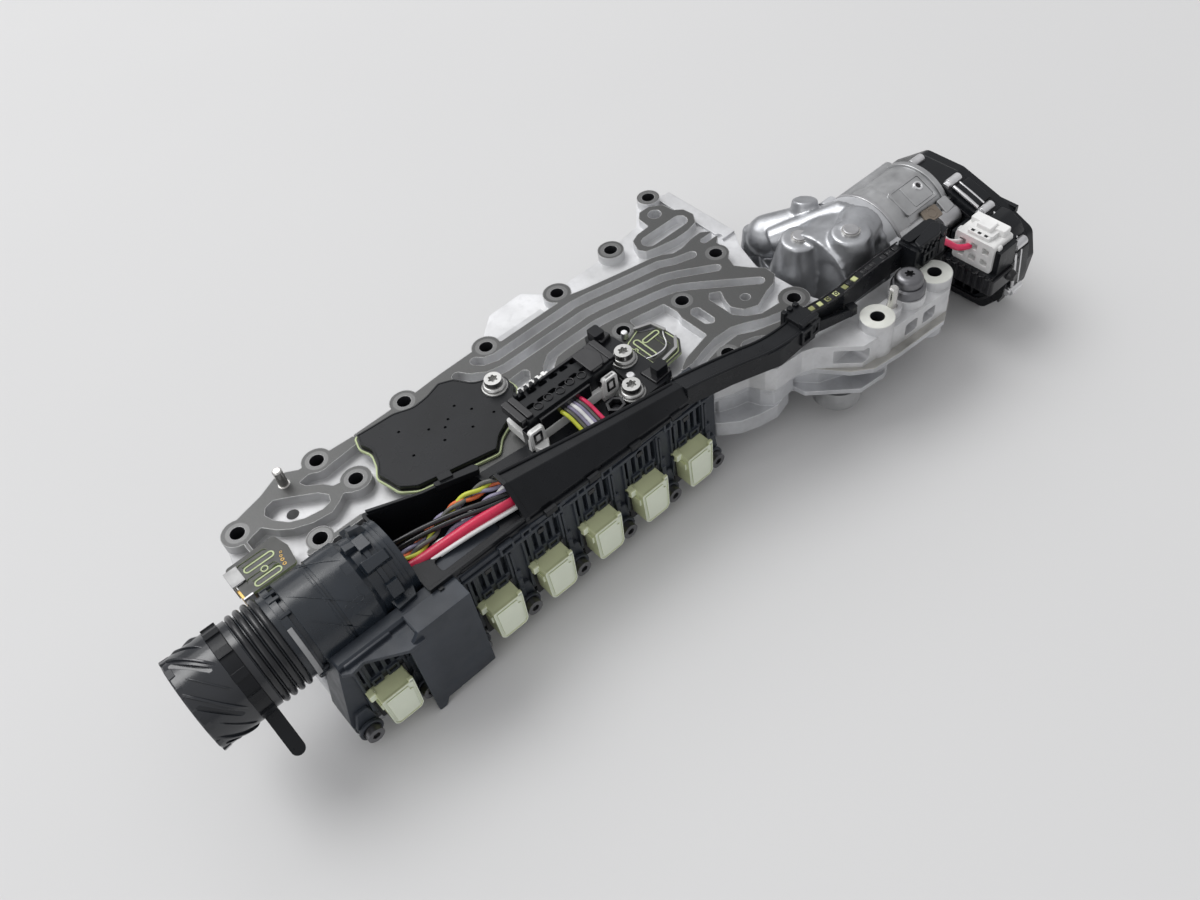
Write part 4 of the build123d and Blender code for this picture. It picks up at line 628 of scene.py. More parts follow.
# --- leads of the small plug; they end at the tray's upper edge, which falls towards the front
TRAY_X = 84.5
TRAY_Y = -99
TRAY_SLOPE = -18 / 121.5
leads = Solid()
lead_looks = []
for name, x, size in (
    ("yellow_wire", 142.5, 1.25), ("grey_wire", 145.2, 1.1), ("violet_wire", 147.6, 1),
    ("white_wire", 150, 1.25), ("violet_wire", 152.2, 1), ("grey_wire", 154.4, 1), ("pink", 157, 1.25),
):
    end_y = TRAY_Y + TRAY_SLOPE * (x - TRAY_X)
    leads.slot = len(lead_looks)
    lead_looks.append(LOOKS[name])
    leads.sweep(route([(x, -87.5, 16.5), (x + 0.2, -93, 17.6), (x + 1.2, -97.5, 16.2), (x + 2.2, -102, 12.5),
                       (x + 2.6, end_y + 0.5, 9.5)]), size, 12)
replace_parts(leads.done("plug_wires", lead_looks, smooth=60), "plug_leads")

# --- motor leads
pair = Solid()
for pair.slot, radius, sides, points in (
    (0, 2.1, 16, [(404, -148.5, 2), (414, -150, 4), (421, -152, 0), (428, -157, -8), (437, -160, -9)]),
    (1, 1.35, 14, [(404, -145, 8), (413, -146, 9), (421, -147.5, 3), (428, -150.5, -6), (437, -153, -8)]),
):
    pair.sweep(route(points), radius, sides)
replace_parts(pair.done("motor_wires", [LOOKS["pink"], LOOKS["white_wire"]], smooth=60), "motor_leads")

# --- pump housing: one cast skin with fillets
skin = Solid()
skin.prism([(346, -44), (352, -37), (374, -38), (391, -48), (391, -139), (352, -142), (342, -132),
            (340, -120), (341, -100), (340, -80)], -60, -30)
angles = [math.radians(-88 - 8 * k) for k in range(24)]
arc = [(385 + 41 * math.cos(a), -74 + 37 * math.sin(a)) for a in angles]
skin.prism([(391, -112), *arc, (391, -38)], -60, -24)
for start, end, radius, end_radius, sides in (
    ((349, -100, -15), (391, -100, -15), 33.5, 33.5, 40),
    ((385.5, -100, -15), (391, -100, -15), 36, 36, 40),
    ((350, -88, -30), (350, -88, 13.5), 24, 12.6, 32),
    ((366, -116, -32), (366, -116, 23.5), 27, 12.4, 32),
    ((366, -116, 12), (388, -106, 9), 14, 16, 28),
    ((360, -50, -12), (384, -74, -6), 15, 17, 28),
    ((354, -42, -26), (356, -40, -8), 9, 7, 20),
    ((352, -60, -6), (389, -92, 11), 8.5, 10, 24),
    ((377, -68, -6), (382, -63.5, 13), 12, 8.6, 24),
):
    skin.rod(start, end, radius, end_radius, sides)
skin.ball((360, -50, -12), 15)
skin.prism([(-118, -40), (-84, -40), (-100, 10)], 354, 357,
           place=lambda u, v, w: (w + (u + 100) * 0.45, u, v))
skin.skin([[(352, -101.5, -58), (354, -99, -58), (366, -113, 18), (364, -115.5, 18)],
           [(344, -122.5, -58), (346, -125, -58), (362, -121, 6), (360, -118.5, 6)]])
skin.skin([[(370, -136, -58), (373, -136, -58), (371, -122, 6), (368, -122, 6)],
           [(370, -141, -58), (373, -141, -58), (371, -128, -6), (368, -128, -6)]])
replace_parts(skin.done("pump_casting", CAST, remesh=1.15, relax=5), "pump_housing")


# --- boards
def inset_outline(points, distance):
    """The closed outline moved inwards (or outwards when negative)."""
    area2 = sum(a[0] * b[1] - b[0] * a[1] for a, b in zip(points, points[1:] + points[:1]))
    turn = 1 if area2 > 0 else -1
    result = []
    for k in range(len(points)):
        before, here, after = (Vector(points[(k + s) % len(points)]) for s in (-1, 0, 1))
        way = (after - before).normalized()
        result.append((here.x - turn * way.y * distance, here.y + turn * way.x * distance))
    return result


board_edge = rounded([
    (49, -3), (60, -4), (76, -5), (88, -10), (98, -9), (110, -5), (120, -10), (127, -22), (136, -26),
    (143, -33), (144, -44), (139, -50), (138, -60), (120, -66), (112, -70), (104, -78), (54, -66), (45, -58),
    (43, -48), (41, -40), (46, -32), (49, -22), (46, -13)], 2.5)
lip = Solid()
lip.band(inset_outline(board_edge, -0.35), inset_outline(board_edge, 0.75), 0.15, 2)
lip.slot = 1
lip.band(inset_outline(board_edge, 1.9), inset_outline(board_edge, 3), 4.6, 5.35)
lip.ring(133, -36, 9.4, 8.5, 4.7, 5.25, 48)
lip.done("board_lip", [LOOKS["board_edge"], BLACK], bevel=0.15, segments=1)

heads = Solid()
for x, y, seat in ((133, -36, 5), (201, -80, 8), (186, -104, 8)):
    for lift, stops in ((1.5, [(0, 7.5), (0.9, 7.6), (1.7, 7), (2.2, 6.3), (2.2, 5.9), (0, 5.9)]),
                        (-0.1, [(0, 7.4), (0, 8.4), (0.6, 8.5), (1.2, 8), (1.2, 7.4)])):
        heads.lathe((x, y, seat + lift), (0, 0, 1), stops, 48, loop=True)
heads.done("bolt_flanges", BOLT, bevel=0.1, segments=1)

# Pale, gold and dark marks on the left and right boards; MARK is the height where they start
MARK = 1.95
marks = Solid()
for u, v, length, width, turn in ((-38.8, -40.4, 19.5, 5, 0), (-39.5, -52.6, 17.5, 5, 0),
                                  (219.5, -78, 20, 5, 1.571), (229, -73.2, 14, 4.6, 0.05)):
    outer, inner, filling = (slot_shape(u, v, length - less, width - less, turn) for less in (0, 2, 2.1))
    marks.slot = 0
    marks.band(outer, inner, MARK, 2.3)
    marks.slot = 3
    marks.prism(filling, 1.9, 2.08)
marks.slot = 0
for u, v, radius in ((-38.7, -46.6, 2.3), (214.6, -75.4, 1.6)):
    marks.ring(u, v, radius, radius - 0.8, MARK, 2.25)
loop = [(213.4, -67.5), (229.8, -61.6), (237.8, -68.4), (238.8, -87.6), (232.2, -95.6), (214.2, -97.6)]
shrunk = [(225.5 + (u - 225.5) * 0.94, -79 + (v + 79) * 0.955) for u, v in loop]
marks.band(rounded(loop, 2), rounded(shrunk, 2), MARK, 2.25)
marks.slot = 1
for u, v, radius in ((-27.6, -45.8, 1), (-28.2, -48.6, 1.2), (-28.6, -51.8, 1.2), (-26.4, -43.4, 0.9)):
    marks.ring(u, v, radius, radius * 0.5, MARK, 2.2, 16)
marks.slot = 2
marks.prism(rounded([(226, -63), (237.5, -67.5), (238.6, -72), (228, -66)], 0.8), MARK, 2.3)
marks.done("board_marks", [LOOKS["board_edge"], GOLD, LOOKS["dark_steel"], GLOSS], bevel=0.08, segments=1)

# Wire loops and the small hat on the right board
hooks = Solid()
hooks.sweep(route([(212.5, -86, 3.4), (216, -88.5, 4), (226, -89.5, 4.2), (231, -86, 4.2),
                   (233.5, -80, 4.2), (236.8, -76, 3.4)]), 0.55, 10)
hooks.sweep(route([(209.5, -88.5, 3.2), (211.5, -86.5, 4.8), (213.5, -84.6, 3.2)]), 0.9, 10)
hooks.rod((217.9, -60.8, 1.5), (217.9, -60.8, 6.2), 2.6, 2.2, 18, 0.5)
hooks.rod((194.6, -92.7, 4), (194.6, -92.7, 8.6), 3.4, 3, 20, 0.7)
hooks.done("board_hooks", SILVER, bevel=0.1)

# Clip with a brass tongue on the left board
grip = Solid(front)
grip.prism(rounded([(-57.6, 2.9), (-51.6, 2.9), (-51.6, 2.1), (-56.6, 2.1), (-56.6, -8), (-57.6, -8)], 0.4),
           -46.4, -37.6)
grip.box((-57.3, -57.2, -5), (-51, -55.6, 2.6))
grip.slot = 1
grip.prism(rect(-57.6, -6, -50.5, 0.4, 0.6), -56, -47)
grip.done("board_grip", [BAND, GOLD], bevel=0.3)

# --- small plug and its pale holder
holder = Solid()
for x in (122.5, 178.5):
    outer = rounded([(x - 6.2, 1.5), (x - 5, 20), (x + 5.2, 20), (x + 6.4, 6), (x + 1, 1.5)], 2)
    inner = rounded([(x - 2.8, 8.5), (x - 2.6, 16.6), (x + 2.8, 16.6), (x + 3.2, 9.5), (x + 1.6, 8.5)], 1.2)
    holder.slot = 0
    holder.band(outer, inner, -93.6, -90.8, front)
    holder.slot = 1
    outer, inner = rect(x - 3.4, 9.6, x + 2.8, 18.4, 1), rect(x - 1.9, 11.4, x + 1.3, 16.6, 0.6)
    holder.band(outer, inner, -93, -95, front)
    holder.plates(1, (x - 5.4, -92.6, x + 5.4, -86, 5, 17.8))
holder.slot = 0
holder.prism(rounded([(118, -94), (129, -94.4), (124, -101), (120, -101)], 1.2), 0.5, 9)
for k in range(5):
    holder.plates(0.5, (132.3 + 4.4 * k, -68.6, 134.7 + 4.4 * k, -64.4, 18, 24.6))
holder.plates(0.5, (131.5, -66.4, 154.5, -64.6, 12, 23.2))
holder.done("holder_frames", [WHITE, GLOSS], bevel=0.35)

TOP = 24.0
block = Solid()
for x in (119.5, 124.5, 182.6, 187.2):
    block.plates(1, (x - 2.2, -87.5, x + 2.2, -67.8, TOP - 4, TOP + 1.6))
block.plates(0.6, (138, -70, 178, -68.4, TOP - 1, TOP + 1.6))
block.plates(1.2, (128, -91.6, 166, -88.6, 12, TOP - 2))
for k in range(6):
    block.ring(133 + 8.2 * k, -83.8 + 1.2 * (k % 2), 3, 2.2, TOP - 1, TOP + 0.7, 20)
block.prism(rounded([(170, -88), (180, -88), (184, -80), (180, -70), (170, -70)], 1.5), TOP - 2, TOP + 3.2)
block.plates(0.8, (119.4, -94.2, 126, -90, 12.5, 19.2), (175.6, -94.2, 181.2, -90, 12.5, 19.2))
block.done("block_details", GLOSS, bevel=0.3)

bracket = Solid()
angles = [math.radians(60 * k + 10) for k in range(6)]
hexagon, socket = ([(171.5 + wide * math.cos(a), -105.5 + deep * math.sin(a)) for a in angles]
                   for wide, deep in ((6.6, 6), (4.4, 4)))
bracket.band(hexagon, socket, 4, 11)
bracket.rod((171.5, -105.5, 4), (171.5, -105.5, 7), 3.2, 3.2, 20)
bracket.rod((194.8, -58.6, 5), (194.8, -58.6, 12), 4.4, 3.6, 24, 0.8)
bracket.slabs(
    ([(199, -96), (213, -98), (214, -109), (200, -110)], 1.2, 4, 9.2, 0.8),
    ([(188, -98), (196, -97), (197, -88), (189, -88)], 1.2, 3.5, 6.4),
    ([(197, -50), (206, -49), (208, -60), (199, -62)], 1, 5, 11.6, 0.7),
    ([(180, -111), (204, -112.5), (206, -109.5), (182, -108)], 0.7, 3.5, 7.2),
)
for k in range(4):
    x, y = 189.5 + 2.4 * k, -63 + 1.6 * k
    bracket.rod((x, y, 4), (x, y, 9 - k), 1.1, 0.9, 10)
bracket.done("bracket_details", GLOSS, bevel=0.25)

# --- solenoid carrier: ledge, ribs and hooks; the round plug hides the second place
PITCH = 38
LEDGE = -127.6
solenoid_xs = [-23.1 + PITCH * k for k in range(7)]
comb = Solid(front)
for x in solenoid_xs[:1] + solenoid_xs[2:]:
    comb.slot = 0
    for at, low, high, y in ((-13.6, -33, -6, -129.6), (-9.8, -33, -10, -128.9), (13, -33, -8, -129.6),
                             (15.6, -40, -12, -129.1)):
        comb.prism(rect(x + at - 0.75, low, x + at + 0.75, high), LEDGE, y, 0.4)
    comb.band(rect(x - 8, -33.5, x - 1, -27.6, 0.6), rect(x - 6.6, -32.4, x - 2.4, -28.8, 0.4), LEDGE, -129.4)
    comb.band(rect(x + 2, -34, x + 9.6, -27.6, 0.6), rect(x + 3.4, -32.6, x + 8.2, -29, 0.4), LEDGE, -129.2)
    for step, (z0, z1) in enumerate(((-38, -31), (-46, -37.5), (-55, -45))):
        comb.prism(rect(x + 14.4, z0, x + 18.6 - step, z1), LEDGE, -129.6 - 0.9 * step, 0.4)
    comb.prism([(x - 15.6, -52), (x - 13.2, -52), (x - 13.2, -36), (x - 14.6, -36)], LEDGE, -130.4, 0.4)
    comb.slot = 1
    for x0, z0, x1, z1, radius, y in (
        (-6.4, -32.2, -2.6, -29, 0.3, -128.5), (3.6, -32.4, 8, -29.2, 0.3, -128.4),
        (-12.2, -46.5, -9.9, -35.5, 0.4, -128.3), (10.6, -47, 12.6, -34, 0.4, -128.3),
        (-2.2, -14.6, 2.4, -11.2, 0.4, -128.6),
    ):
        comb.prism(rect(x + x0, z0, x + x1, z1, radius), -127.9, y)
comb.slot = 0
for x0, x1 in ((-39, -10), (36, 78), (84, 101), (106, 119), (124, 187), (192, 227)):
    comb.prism(rect(x0, -4.6, x1, -1.2, 0.6), -126.5, -129 if x0 < 0 else -129.2, 0.3)
for x in (81, 103.4, 121.4, 189.4):
    comb.band(rect(x - 3.4, -8.2, x + 3.4, -0.6, 0.8), rect(x - 1.9, -6.4, x + 1.9, -2, 0.5), -127, -130.2)
comb.box((34, -128.6, -8.4), (229, -127.4, -6.8))
for x0, x1, z in ((36, 62, -5.4), (66, 90, -5), (110, 134, -5), (142, 166, -5.2), (196, 222, -5)):
    comb.prism([(x0, z), (x0 + 3, z - 2.6), (x1 - 3, z - 2.6), (x1, z)], LEDGE, -130.4, 0.3)
for x0, x1 in ((62, 72), (136, 144), (214, 224)):
    comb.band(rect(x0, -6.6, x1, 0.4, 1), rect(x0 + 1.6, -5.2, x1 - 1.6, -1.2, 0.6), -128, -131)
comb.done("carrier_ribs", [CARRIER, GLOSS], bevel=0.25)

# Rings round the carrier's screw lugs, and the webs above them
lips = Solid(front)
for k in range(8):
    x = solenoid_xs[0] + PITCH * (k - 0.5) - 2.4
    lips.ring(x, -61, 7.4, 5.6, -131.5, -133.6)
    web = [(x - 6.8, -58), (x + 6.8, -58), (x + 5, -44), (x - 3, -44)]
    lips.prism(rounded(web, 1.5), -127.5, -130.6, 0.6)
lips.done("carrier_lugs", CARRIER, bevel=0.35)

# --- caps: rim, ears, latch and raised front
CAP_Z = -49.0
caps = Solid(front)
for x in solenoid_xs:
    z = CAP_Z
    face = rounded([(x - 10.5, z + 14.4), (x + 10.5, z + 14.4), (x + 9.75, z - 11.4), (x + 7.5, z - 14.4),
                    (x - 7.5, z - 14.4), (x - 9.75, z - 11.4)], 1.2)
    caps.band(face, [(x + (u - x) * 0.93, z + (v - z) * 0.95) for u, v in face], -138.6, -139.9)
    caps.prism(rect(x + 7.4, z + 13.4, x + 10.5, z + 16.4, 0.7), -138, -139.9, 0.3)
    caps.prism(rect(x - 14, z + 10.2, x - 9.6, z + 16, 0.8), -128.6, -133.4, 0.5)
    caps.prism(rect(x - 11.4, z + 4, x - 10.2, z + 9.4, 0.4), -131, -137.5)
    for u in (x - 4.5, x + 4.5):
        caps.ring(u, z - 8, 1.5, 1.2, -139.2, -139.55, 16)
    caps.prism(rounded([(x - 8.4, -37.2), (x + 6.2, -37.2), (x + 6.2, -41), (x + 8.2, -41), (x + 7.4, -59),
                        (x + 6.2, -61), (x - 6.2, -61), (x - 7.6, -59)], 0.5), -139.6, -140.05, 0.1)
caps.done("cap_rims", CAP, bevel=0.25)

# --- round plug: bayonet ribs, rim, sleeve trim
PLUG_Y = -92
PLUG_R = 27.4


def around(x, radius, degrees):
    """A point round the plug's axis, counted from the solenoid side upwards."""
    a = math.radians(degrees)
    return (x, PLUG_Y - radius * math.cos(a), radius * math.sin(a))


def wedge(x, inner, outer, angle, wide, taper=1, shift=0):
    """One end of a raised patch on the plug: two points at the inner radius, two at the outer one."""
    return [around(x, inner, angle - wide), around(x, inner, angle + wide),
            around(x + shift, outer, angle + wide * taper), around(x + shift, outer, angle - wide * taper)]


def helix_rib(solid, x0, x1, start, turn, radius, height, width, steps=26):
    """Raised rib that winds round the plug from x0 to x1."""
    slope = math.radians(turn) * radius / (x1 - x0)
    half = width / 2 / math.hypot(1, slope)
    dx = half * slope
    da = math.degrees(half / radius)
    rings = []
    for s in range(steps + 1):
        t = s / steps
        x = x0 + (x1 - x0) * t
        angle = start + turn * t
        lift = height * min(1, 6 * t, 6 * (1 - t)) + 0.02
        rings.append([around(x + dx * across, radius + up, angle - da * across)
                      for across, up in ((-1, -0.3), (1, -0.3), (0.6, lift), (-0.6, lift))])
    solid.skin(rings)


collar = Solid()
for k in range(6):
    helix_rib(collar, -106.5, -86.2, 60 * k + 8, -54, PLUG_R, 1.3, 2)
    helix_rib(collar, -101.5, -86.6, 60 * k + 22, -40, PLUG_R, 0.9, 1.1)
RIM_X = -107.9
random.seed(7)
for k in range(15):
    angle = 24 * k + random.uniform(-5, 5)
    wide = random.uniform(5, 9)
    out = random.uniform(0.5, 1.3)
    deep = random.uniform(2.6, 5.5)
    collar.skin([wedge(RIM_X, 25.2, 27.2 + out, angle, wide, 0.8),
                 wedge(RIM_X + deep, 26.8, PLUG_R + out * 0.4, angle, wide, 0.7)])
collar.done("bayonet_ribs", BARREL, bevel=0.2)

trim = Solid()
for x0, x1, start, turn in ((-42, -8, 92, -66), (-40, -14, 55, -58), (-30, -8, 128, -42), (-20, -8, 30, -26)):
    helix_rib(trim, x0, x1, start, turn, 27.5, 0.45, 0.7, 40)
for x, sides, stops in (
    (-27.2, 72, [(0, 27.3), (0.2, 27.95), (0.7, 27.95), (0.9, 27.3)]),
    (2.5, 64, [(0, 24), (0.6, 26.4), (3.4, 26.4), (4, 24)]),
    *((x, 64, [(0, 24.2), (0.3, 25.4), (0.9, 25.4), (1.2, 24.2)]) for x in (9.5, 12.3, 15.1)),
):
    trim.lathe((x, PLUG_Y, 0), (1, 0, 0), stops, sides)
trim.done("sleeve_trim", SLEEVE, bevel=0.12)

parts = Solid()
for angle in (-62, -50, -38, -26, -14, 74, 98, 110, 134, 158, 182, 206, 230, 254):
    parts.skin([wedge(-49.6, 26.4, 27.9, angle, 2.4), wedge(-43.4, 26, 27.6, angle, 2.4)])
for x0, x1, angle, wide, out in ((-3, 14, 62, 9, 5.5), (-5, 6, 95, 7, 4), (0, 15, -2, 11, 6),
                                 (3, 13, 118, 8, 4.4)):
    parts.skin([wedge(x0, 24.5, 25.5 + out, angle, wide, 0.7, 1),
                wedge(x1, 24.5, 24 + out, angle, wide, 0.6, -2)])
parts.band(slot_shape(-16, -52.5, 13, 6.4), slot_shape(-16, -52.5, 11.4, 4.8), 24.2, 25.9,
           lambda u, v, w: around(u, w + 2, v - PLUG_Y))
parts.slot = 1
corners = ((-50.4, 27.3), (-47.6, 27.3), (-47.6, 28.5), (-50.4, 28.5))
parts.skin([[around(*corner, 58 - 70 * s / 24) for corner in corners] for s in range(25)])
parts.done("sleeve_parts", [SLEEVE, LOOKS["grey_strip"]], bevel=0.25)

# --- wire tray and its cover
tray = Solid()
tray.slabs(
    ([(22, -60.5), (52, -73.2), (79, -80), (79, -81.6), (52, -75), (22, -62.6)], 0.4, 7.8, 10.2),
    ([(60, -75), (84, -81), (86, -84), (84, -86.5), (60, -78.5)], 0.8, 8, 12.5),
    ([(64, -73), (72, -75), (71, -80), (63, -78)], 0.8, 8, 14),
    ([(38, -127.8), (84, -128.4), (118, -130.4), (150, -131.4), (206, -131.6), (206, -129.4), (150, -128.6),
      (118, -127.6), (84, -126.2), (38, -125.6)], 0.8, -0.3, 2.2),
    ([(30, -109), (30, -104), (44, -103), (46, -107)], 0.8, -22, -4),
)
tray.prism([(-128.2, -0.4), (-128.2, 5.4), (-113.3, 22.8), (-103.6, 22.8), (-98.2, 16.4), (-98.2, 12.8),
            (-99.4, 12.8), (-99.6, 15.6), (-104.4, 21.2), (-112.6, 21.2), (-126.2, 4.8), (-126.2, -0.4)],
           83.8, 86.6, place=side)
edge = route([(86, -104.2, 22.4), (120, -109.6, 19.8), (160, -115.5, 17.2), (203, -120.4, 14.2)])
tray.sweep(edge, 1.1, 12)
tray.skin([[(96, -123.5, 9.4), (96, -124.8, 8.6), (112, -128, 4.2), (112, -128.6, 3)],
           [(150, -125.2, 9.6), (150, -126.4, 8.8), (138, -128.9, 4.2), (138, -129.4, 3)]])
knots = [(88, -118.2, 14), (126, -120.2, 11.2), (141, -124.6, 8), (200, -128.6, 5.6), (154, -119.4, 13.4),
         (160, -124.8, 9)]
for start, end in ((0, 1), (1, 2), (2, 3), (1, 4), (4, 5)):
    tray.line(knots[start], knots[end], 0.45, 8)
tray.plates(0.6, *((x - 4, -132.2, x + 4, -129.6, -0.6, 3.4) for x in (99, 131, 163, 195)))
tray.plates(0.3, *((x - 0.8, -107.2, x + 0.8, -98, -23.5, -8) for x in (40, 50, 60, 70)))
tray.plates(0.4, (23, -130.2, 26, -127.2, -0.4, 3.2))
tray.done("tray_trim", BLACK, bevel=0.35)

# --- cable channel, strip and end plug; the first nine cells of the strip have inlays in turn
runs = Solid()
points = [(300, -139), (312, -141), (326, -142), (345, -141), (362, -141), (384, -142)]
cell = 0
for (x0, y0), (x1, y1) in zip(points, points[1:]):
    turn = math.atan2(y1 - y0, x1 - x0)
    for along in (0.25, 0.5, 0.75):
        u, v = x0 + (x1 - x0) * along, y0 + (y1 - y0) * along
        runs.slot = (0, 2, 1)[cell % 3] if cell < 9 else 2
        runs.prism(rotated(rect(-1.9, -1.9, 1.9, 1.9), u, v, turn), 14.8, 16.2, 0.3)
        runs.slot = 2
        if cell % 2:
            runs.ring(u, v, 1.3, 0.7, 16, 16.6, 12)
        cell += 1
    for edge in (-3.1, 3.1):
        dx, dy = -math.sin(turn) * edge, math.cos(turn) * edge
        runs.line((x0 + dx, y0 + dy, 16), (x1 + dx, y1 + dy, 16), 0.6, 8)
runs.done("strip_inlays", [LOOKS["olive_inlay"], LOOKS["bright_olive"], GLOSS], bevel=0.15, segments=1)

links = Solid()
for x, y in ((289, -147.6), (297, -146.4)):
    links.band(rect(x - 4.6, 3, x + 4.6, 15, 1), rect(x - 2.8, 5.5, x + 2.8, 12, 0.6), y, y - 1.6, front)
links.band(rect(388, 3, 400, 13, 1), rect(390.4, 5, 397.6, 11, 0.6), -155.2, -157.4, front)
links.plates(0.8, (286, -147.5, 300.5, -144, 8, 18.6))
links.plates(0.5, *((x - 1.5, -133, x + 1.5, -129.6, 6, 18.8) for x in (287.5, 292.5, 297.5)))
for k in range(5):
    links.plates(0.5, (384.8 + 5.2 * k, -157.2, 387.2 + 5.2 * k, -140.5, 16.5, 19.4 - 0.3 * k))
links.slabs(
    ([(326, -146), (332, -148), (331, -153), (325, -152)], 1, 0.2, 7),
    ([(384, -155.8), (404, -156.6), (412, -150), (408, -146), (386, -150)], 1.4, 17, 21.2, 0.8),
    ([(402, -156.5), (410, -156.5), (413, -153), (405, -153)], 0.8, 2, 14.5),
)
for points in ([(206, -118.6), (240, -126.4), (268, -136), (286, -135.2)],
               [(206, -129.8), (238, -137.8), (266, -147.6), (286, -147.2)]):
    links.sweep(route([(x, y, 14.2) for x, y in points]), 0.9, 10)
links.skin([[(302, -143.5, 1), (302, -143.5, 9), (303, -147, 10), (303, -147, 1)],
            [(326, -147.5, 0.4), (326, -147.5, 5.5), (326, -152, 6.5), (326, -152, 0.4)]])
links.done("channel_links", BLACK, bevel=0.3)

# --- motor: discs, bands, pad, cover rim
discs = Solid()
for centre in ((350, -88, 13.5), (366, -116, 23.5)):
    discs.lathe(centre, (0, 0, 1), [(0, 5.2), (2.1, 5.2), (2.5, 4.7), (2.5, 0.05)], 40)
discs.done("dome_discs", BAND, bevel=0.15)

motor = Solid()
for motor.slot, x, stops in ((0, 399.6, [(0, 33), (0.8, 34.6), (3.2, 34.6), (4, 31)]),
                             (1, 404, [(0, 29.6), (0.4, 30.9), (13.4, 30.9), (14, 29.6)]),
                             (1, 450.5, [(0, 29.6), (0.6, 31.4), (4.8, 31.4), (5.4, 29.6)])):
    motor.lathe((x, -100, -15), (1, 0, 0), stops, 64)
motor.slot = 0
motor.rod((404, -138, -8), (420, -138, -8), 7.6, 7.6, 28, 1.2)
motor.rod((436, -133, -6), (455, -133, -6), 7.2, 7.2, 28, 1.4)
motor.done("motor_bands", [BAND, LOOKS["can_aluminium"]], bevel=0.3)


def tilted(u, v, w):
    """Outline on the motor's raised pad; u along the length, v across, w out of the pad."""
    return (432 + u, -112 + 0.91 * v - 0.42 * w, 9 + 0.42 * v + 0.91 * w)


pad = Solid(tilted)
pad.band(rect(-15.4, -10.4, 15.4, 10.4, 2), rect(-13.6, -8.6, 13.6, 8.6, 1.5), 2.6, 4.4)
pad.prism(rect(-5, -8.4, 13.4, 8.4, 1.2), 3, 4.2, 0.3)
pad.prism(rounded([(11, -24), (21, -23), (21, -13), (12, -13)], 1.5), 0.8, 2.6, 0.5)
pad.slot = 1
pad.ring(8, 2.5, 3.4, 2, 3.8, 5.2, 24)
pad.slot = 2
pad.prism(rounded([(-6, -22), (9, -23), (10, -13.5), (-4, -12.5)], 1.5), 0.6, 2.2, 0.4)
pad.ring(2.5, -17.5, 3.6, 2.9, 2, 2.5, 20)
pad.slot = 3
pad.prism(disc(8, 2.5, 2.1, 20), 3.9, 4.5)
pad.done("motor_pad", [LOOKS["can_aluminium"], SILVER, LOOKS["brown_patch"], GLOSS], bevel=0.25)

rim = Solid(side)
clips = [(-90, 11), (-122, 10.2), (-151, 0.6), (-180, -14), (-184, -52), (-167, -73.2), (-128, -75)]
middle = Vector((-118, -32))
for y, z in clips:
    out = (Vector((y, z)) - middle).normalized()
    y, z = y - out.x * 1.6, z - out.y * 1.6
    rim.rod((459.5, y, z), (471.5, y, z), 3.3, 3.3, 20, 0.9)
    foot = rotated(rect(-4, -2.4, 1.5, 2.4), y, z, math.atan2(out.y, out.x))
    rim.prism(rounded(foot, 0.8), 457, 461.5, 0.5)
for k, bulge in ((1, 0.4), (2, 3.8), (3, 0.4)):
    a, b = Vector(clips[k]), Vector(clips[k + 1])
    rim.slot = 0
    for x, radius in ((460, 1.5), (466.5, 0.9)):
        rim.sweep([(x, *(a + (b - a) * t)) for t in (0.14, 0.5, 0.86)], radius, 10)
    way = (b - a).normalized()
    out = Vector((way.y, -way.x))
    if out.dot(a - middle) < 0:
        out = -out
    low, high, centre = a + way * 5, b - way * 5, (a + b) / 2
    rim.slot = 1
    rim.prism(rounded([low - out * 3, high - out * 3, high + out * 0.2, centre + way * 5 + out * bulge,
                       centre - way * 5 + out * bulge, low + out * 0.2], 1.2), 459.6, 475, 0.5)
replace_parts(rim.done("cover_rim", [SILVER, BLACK], bevel=0.3), "cover_clips")

ribs = Solid(side)
for k in range(7):
    y = -178 + 7 * k
    ribs.prism(rect(y - 0.8, -66 + 1.4 * abs(3 - k), y + 0.8, -34), 456.2, 463.5)
for y, z, wide, tall in ((-128, 1, 5, 3), (-136, -4, 3, 5), (-146, -8, 6, 2.4), (-170, -18, 3, 6),
                         (-174, -30, 4, 3), (-131, -58, 6, 4), (-142, -62, 4, 6), (-122, -62, 3, 5),
                         (-152, -4, 2.5, 4)):
    ribs.prism(rect(y - wide / 2, z - tall / 2, y + wide / 2, z + tall / 2, 0.4), 453.6, 457.5, 0.4)
outer = [(-92, 5), (-117, 5), (-148, -4.5), (-173, -16), (-177, -32), (-175.5, -55), (-165, -69), (-100, -70),
         (-70, -52), (-66, -14)]
inner = [(-92, 3), (-116.5, 3), (-147, -6.5), (-171.5, -17.5), (-175, -32), (-173.5, -54), (-164, -67),
         (-101, -68), (-72, -51), (-68, -15)]
ribs.band(rounded(outer, 5), rounded(inner, 5), 454.8, 456.6)
ribs.slot = 1
ribs.prism(rounded([(-84, 1), (-100, 4), (-103, 0), (-88, -3)], 0.8), 453.2, 456.6, 0.3)
ribs.done("cover_inside", [GLOSS, LOOKS["orange_bit"]], bevel=0.2)

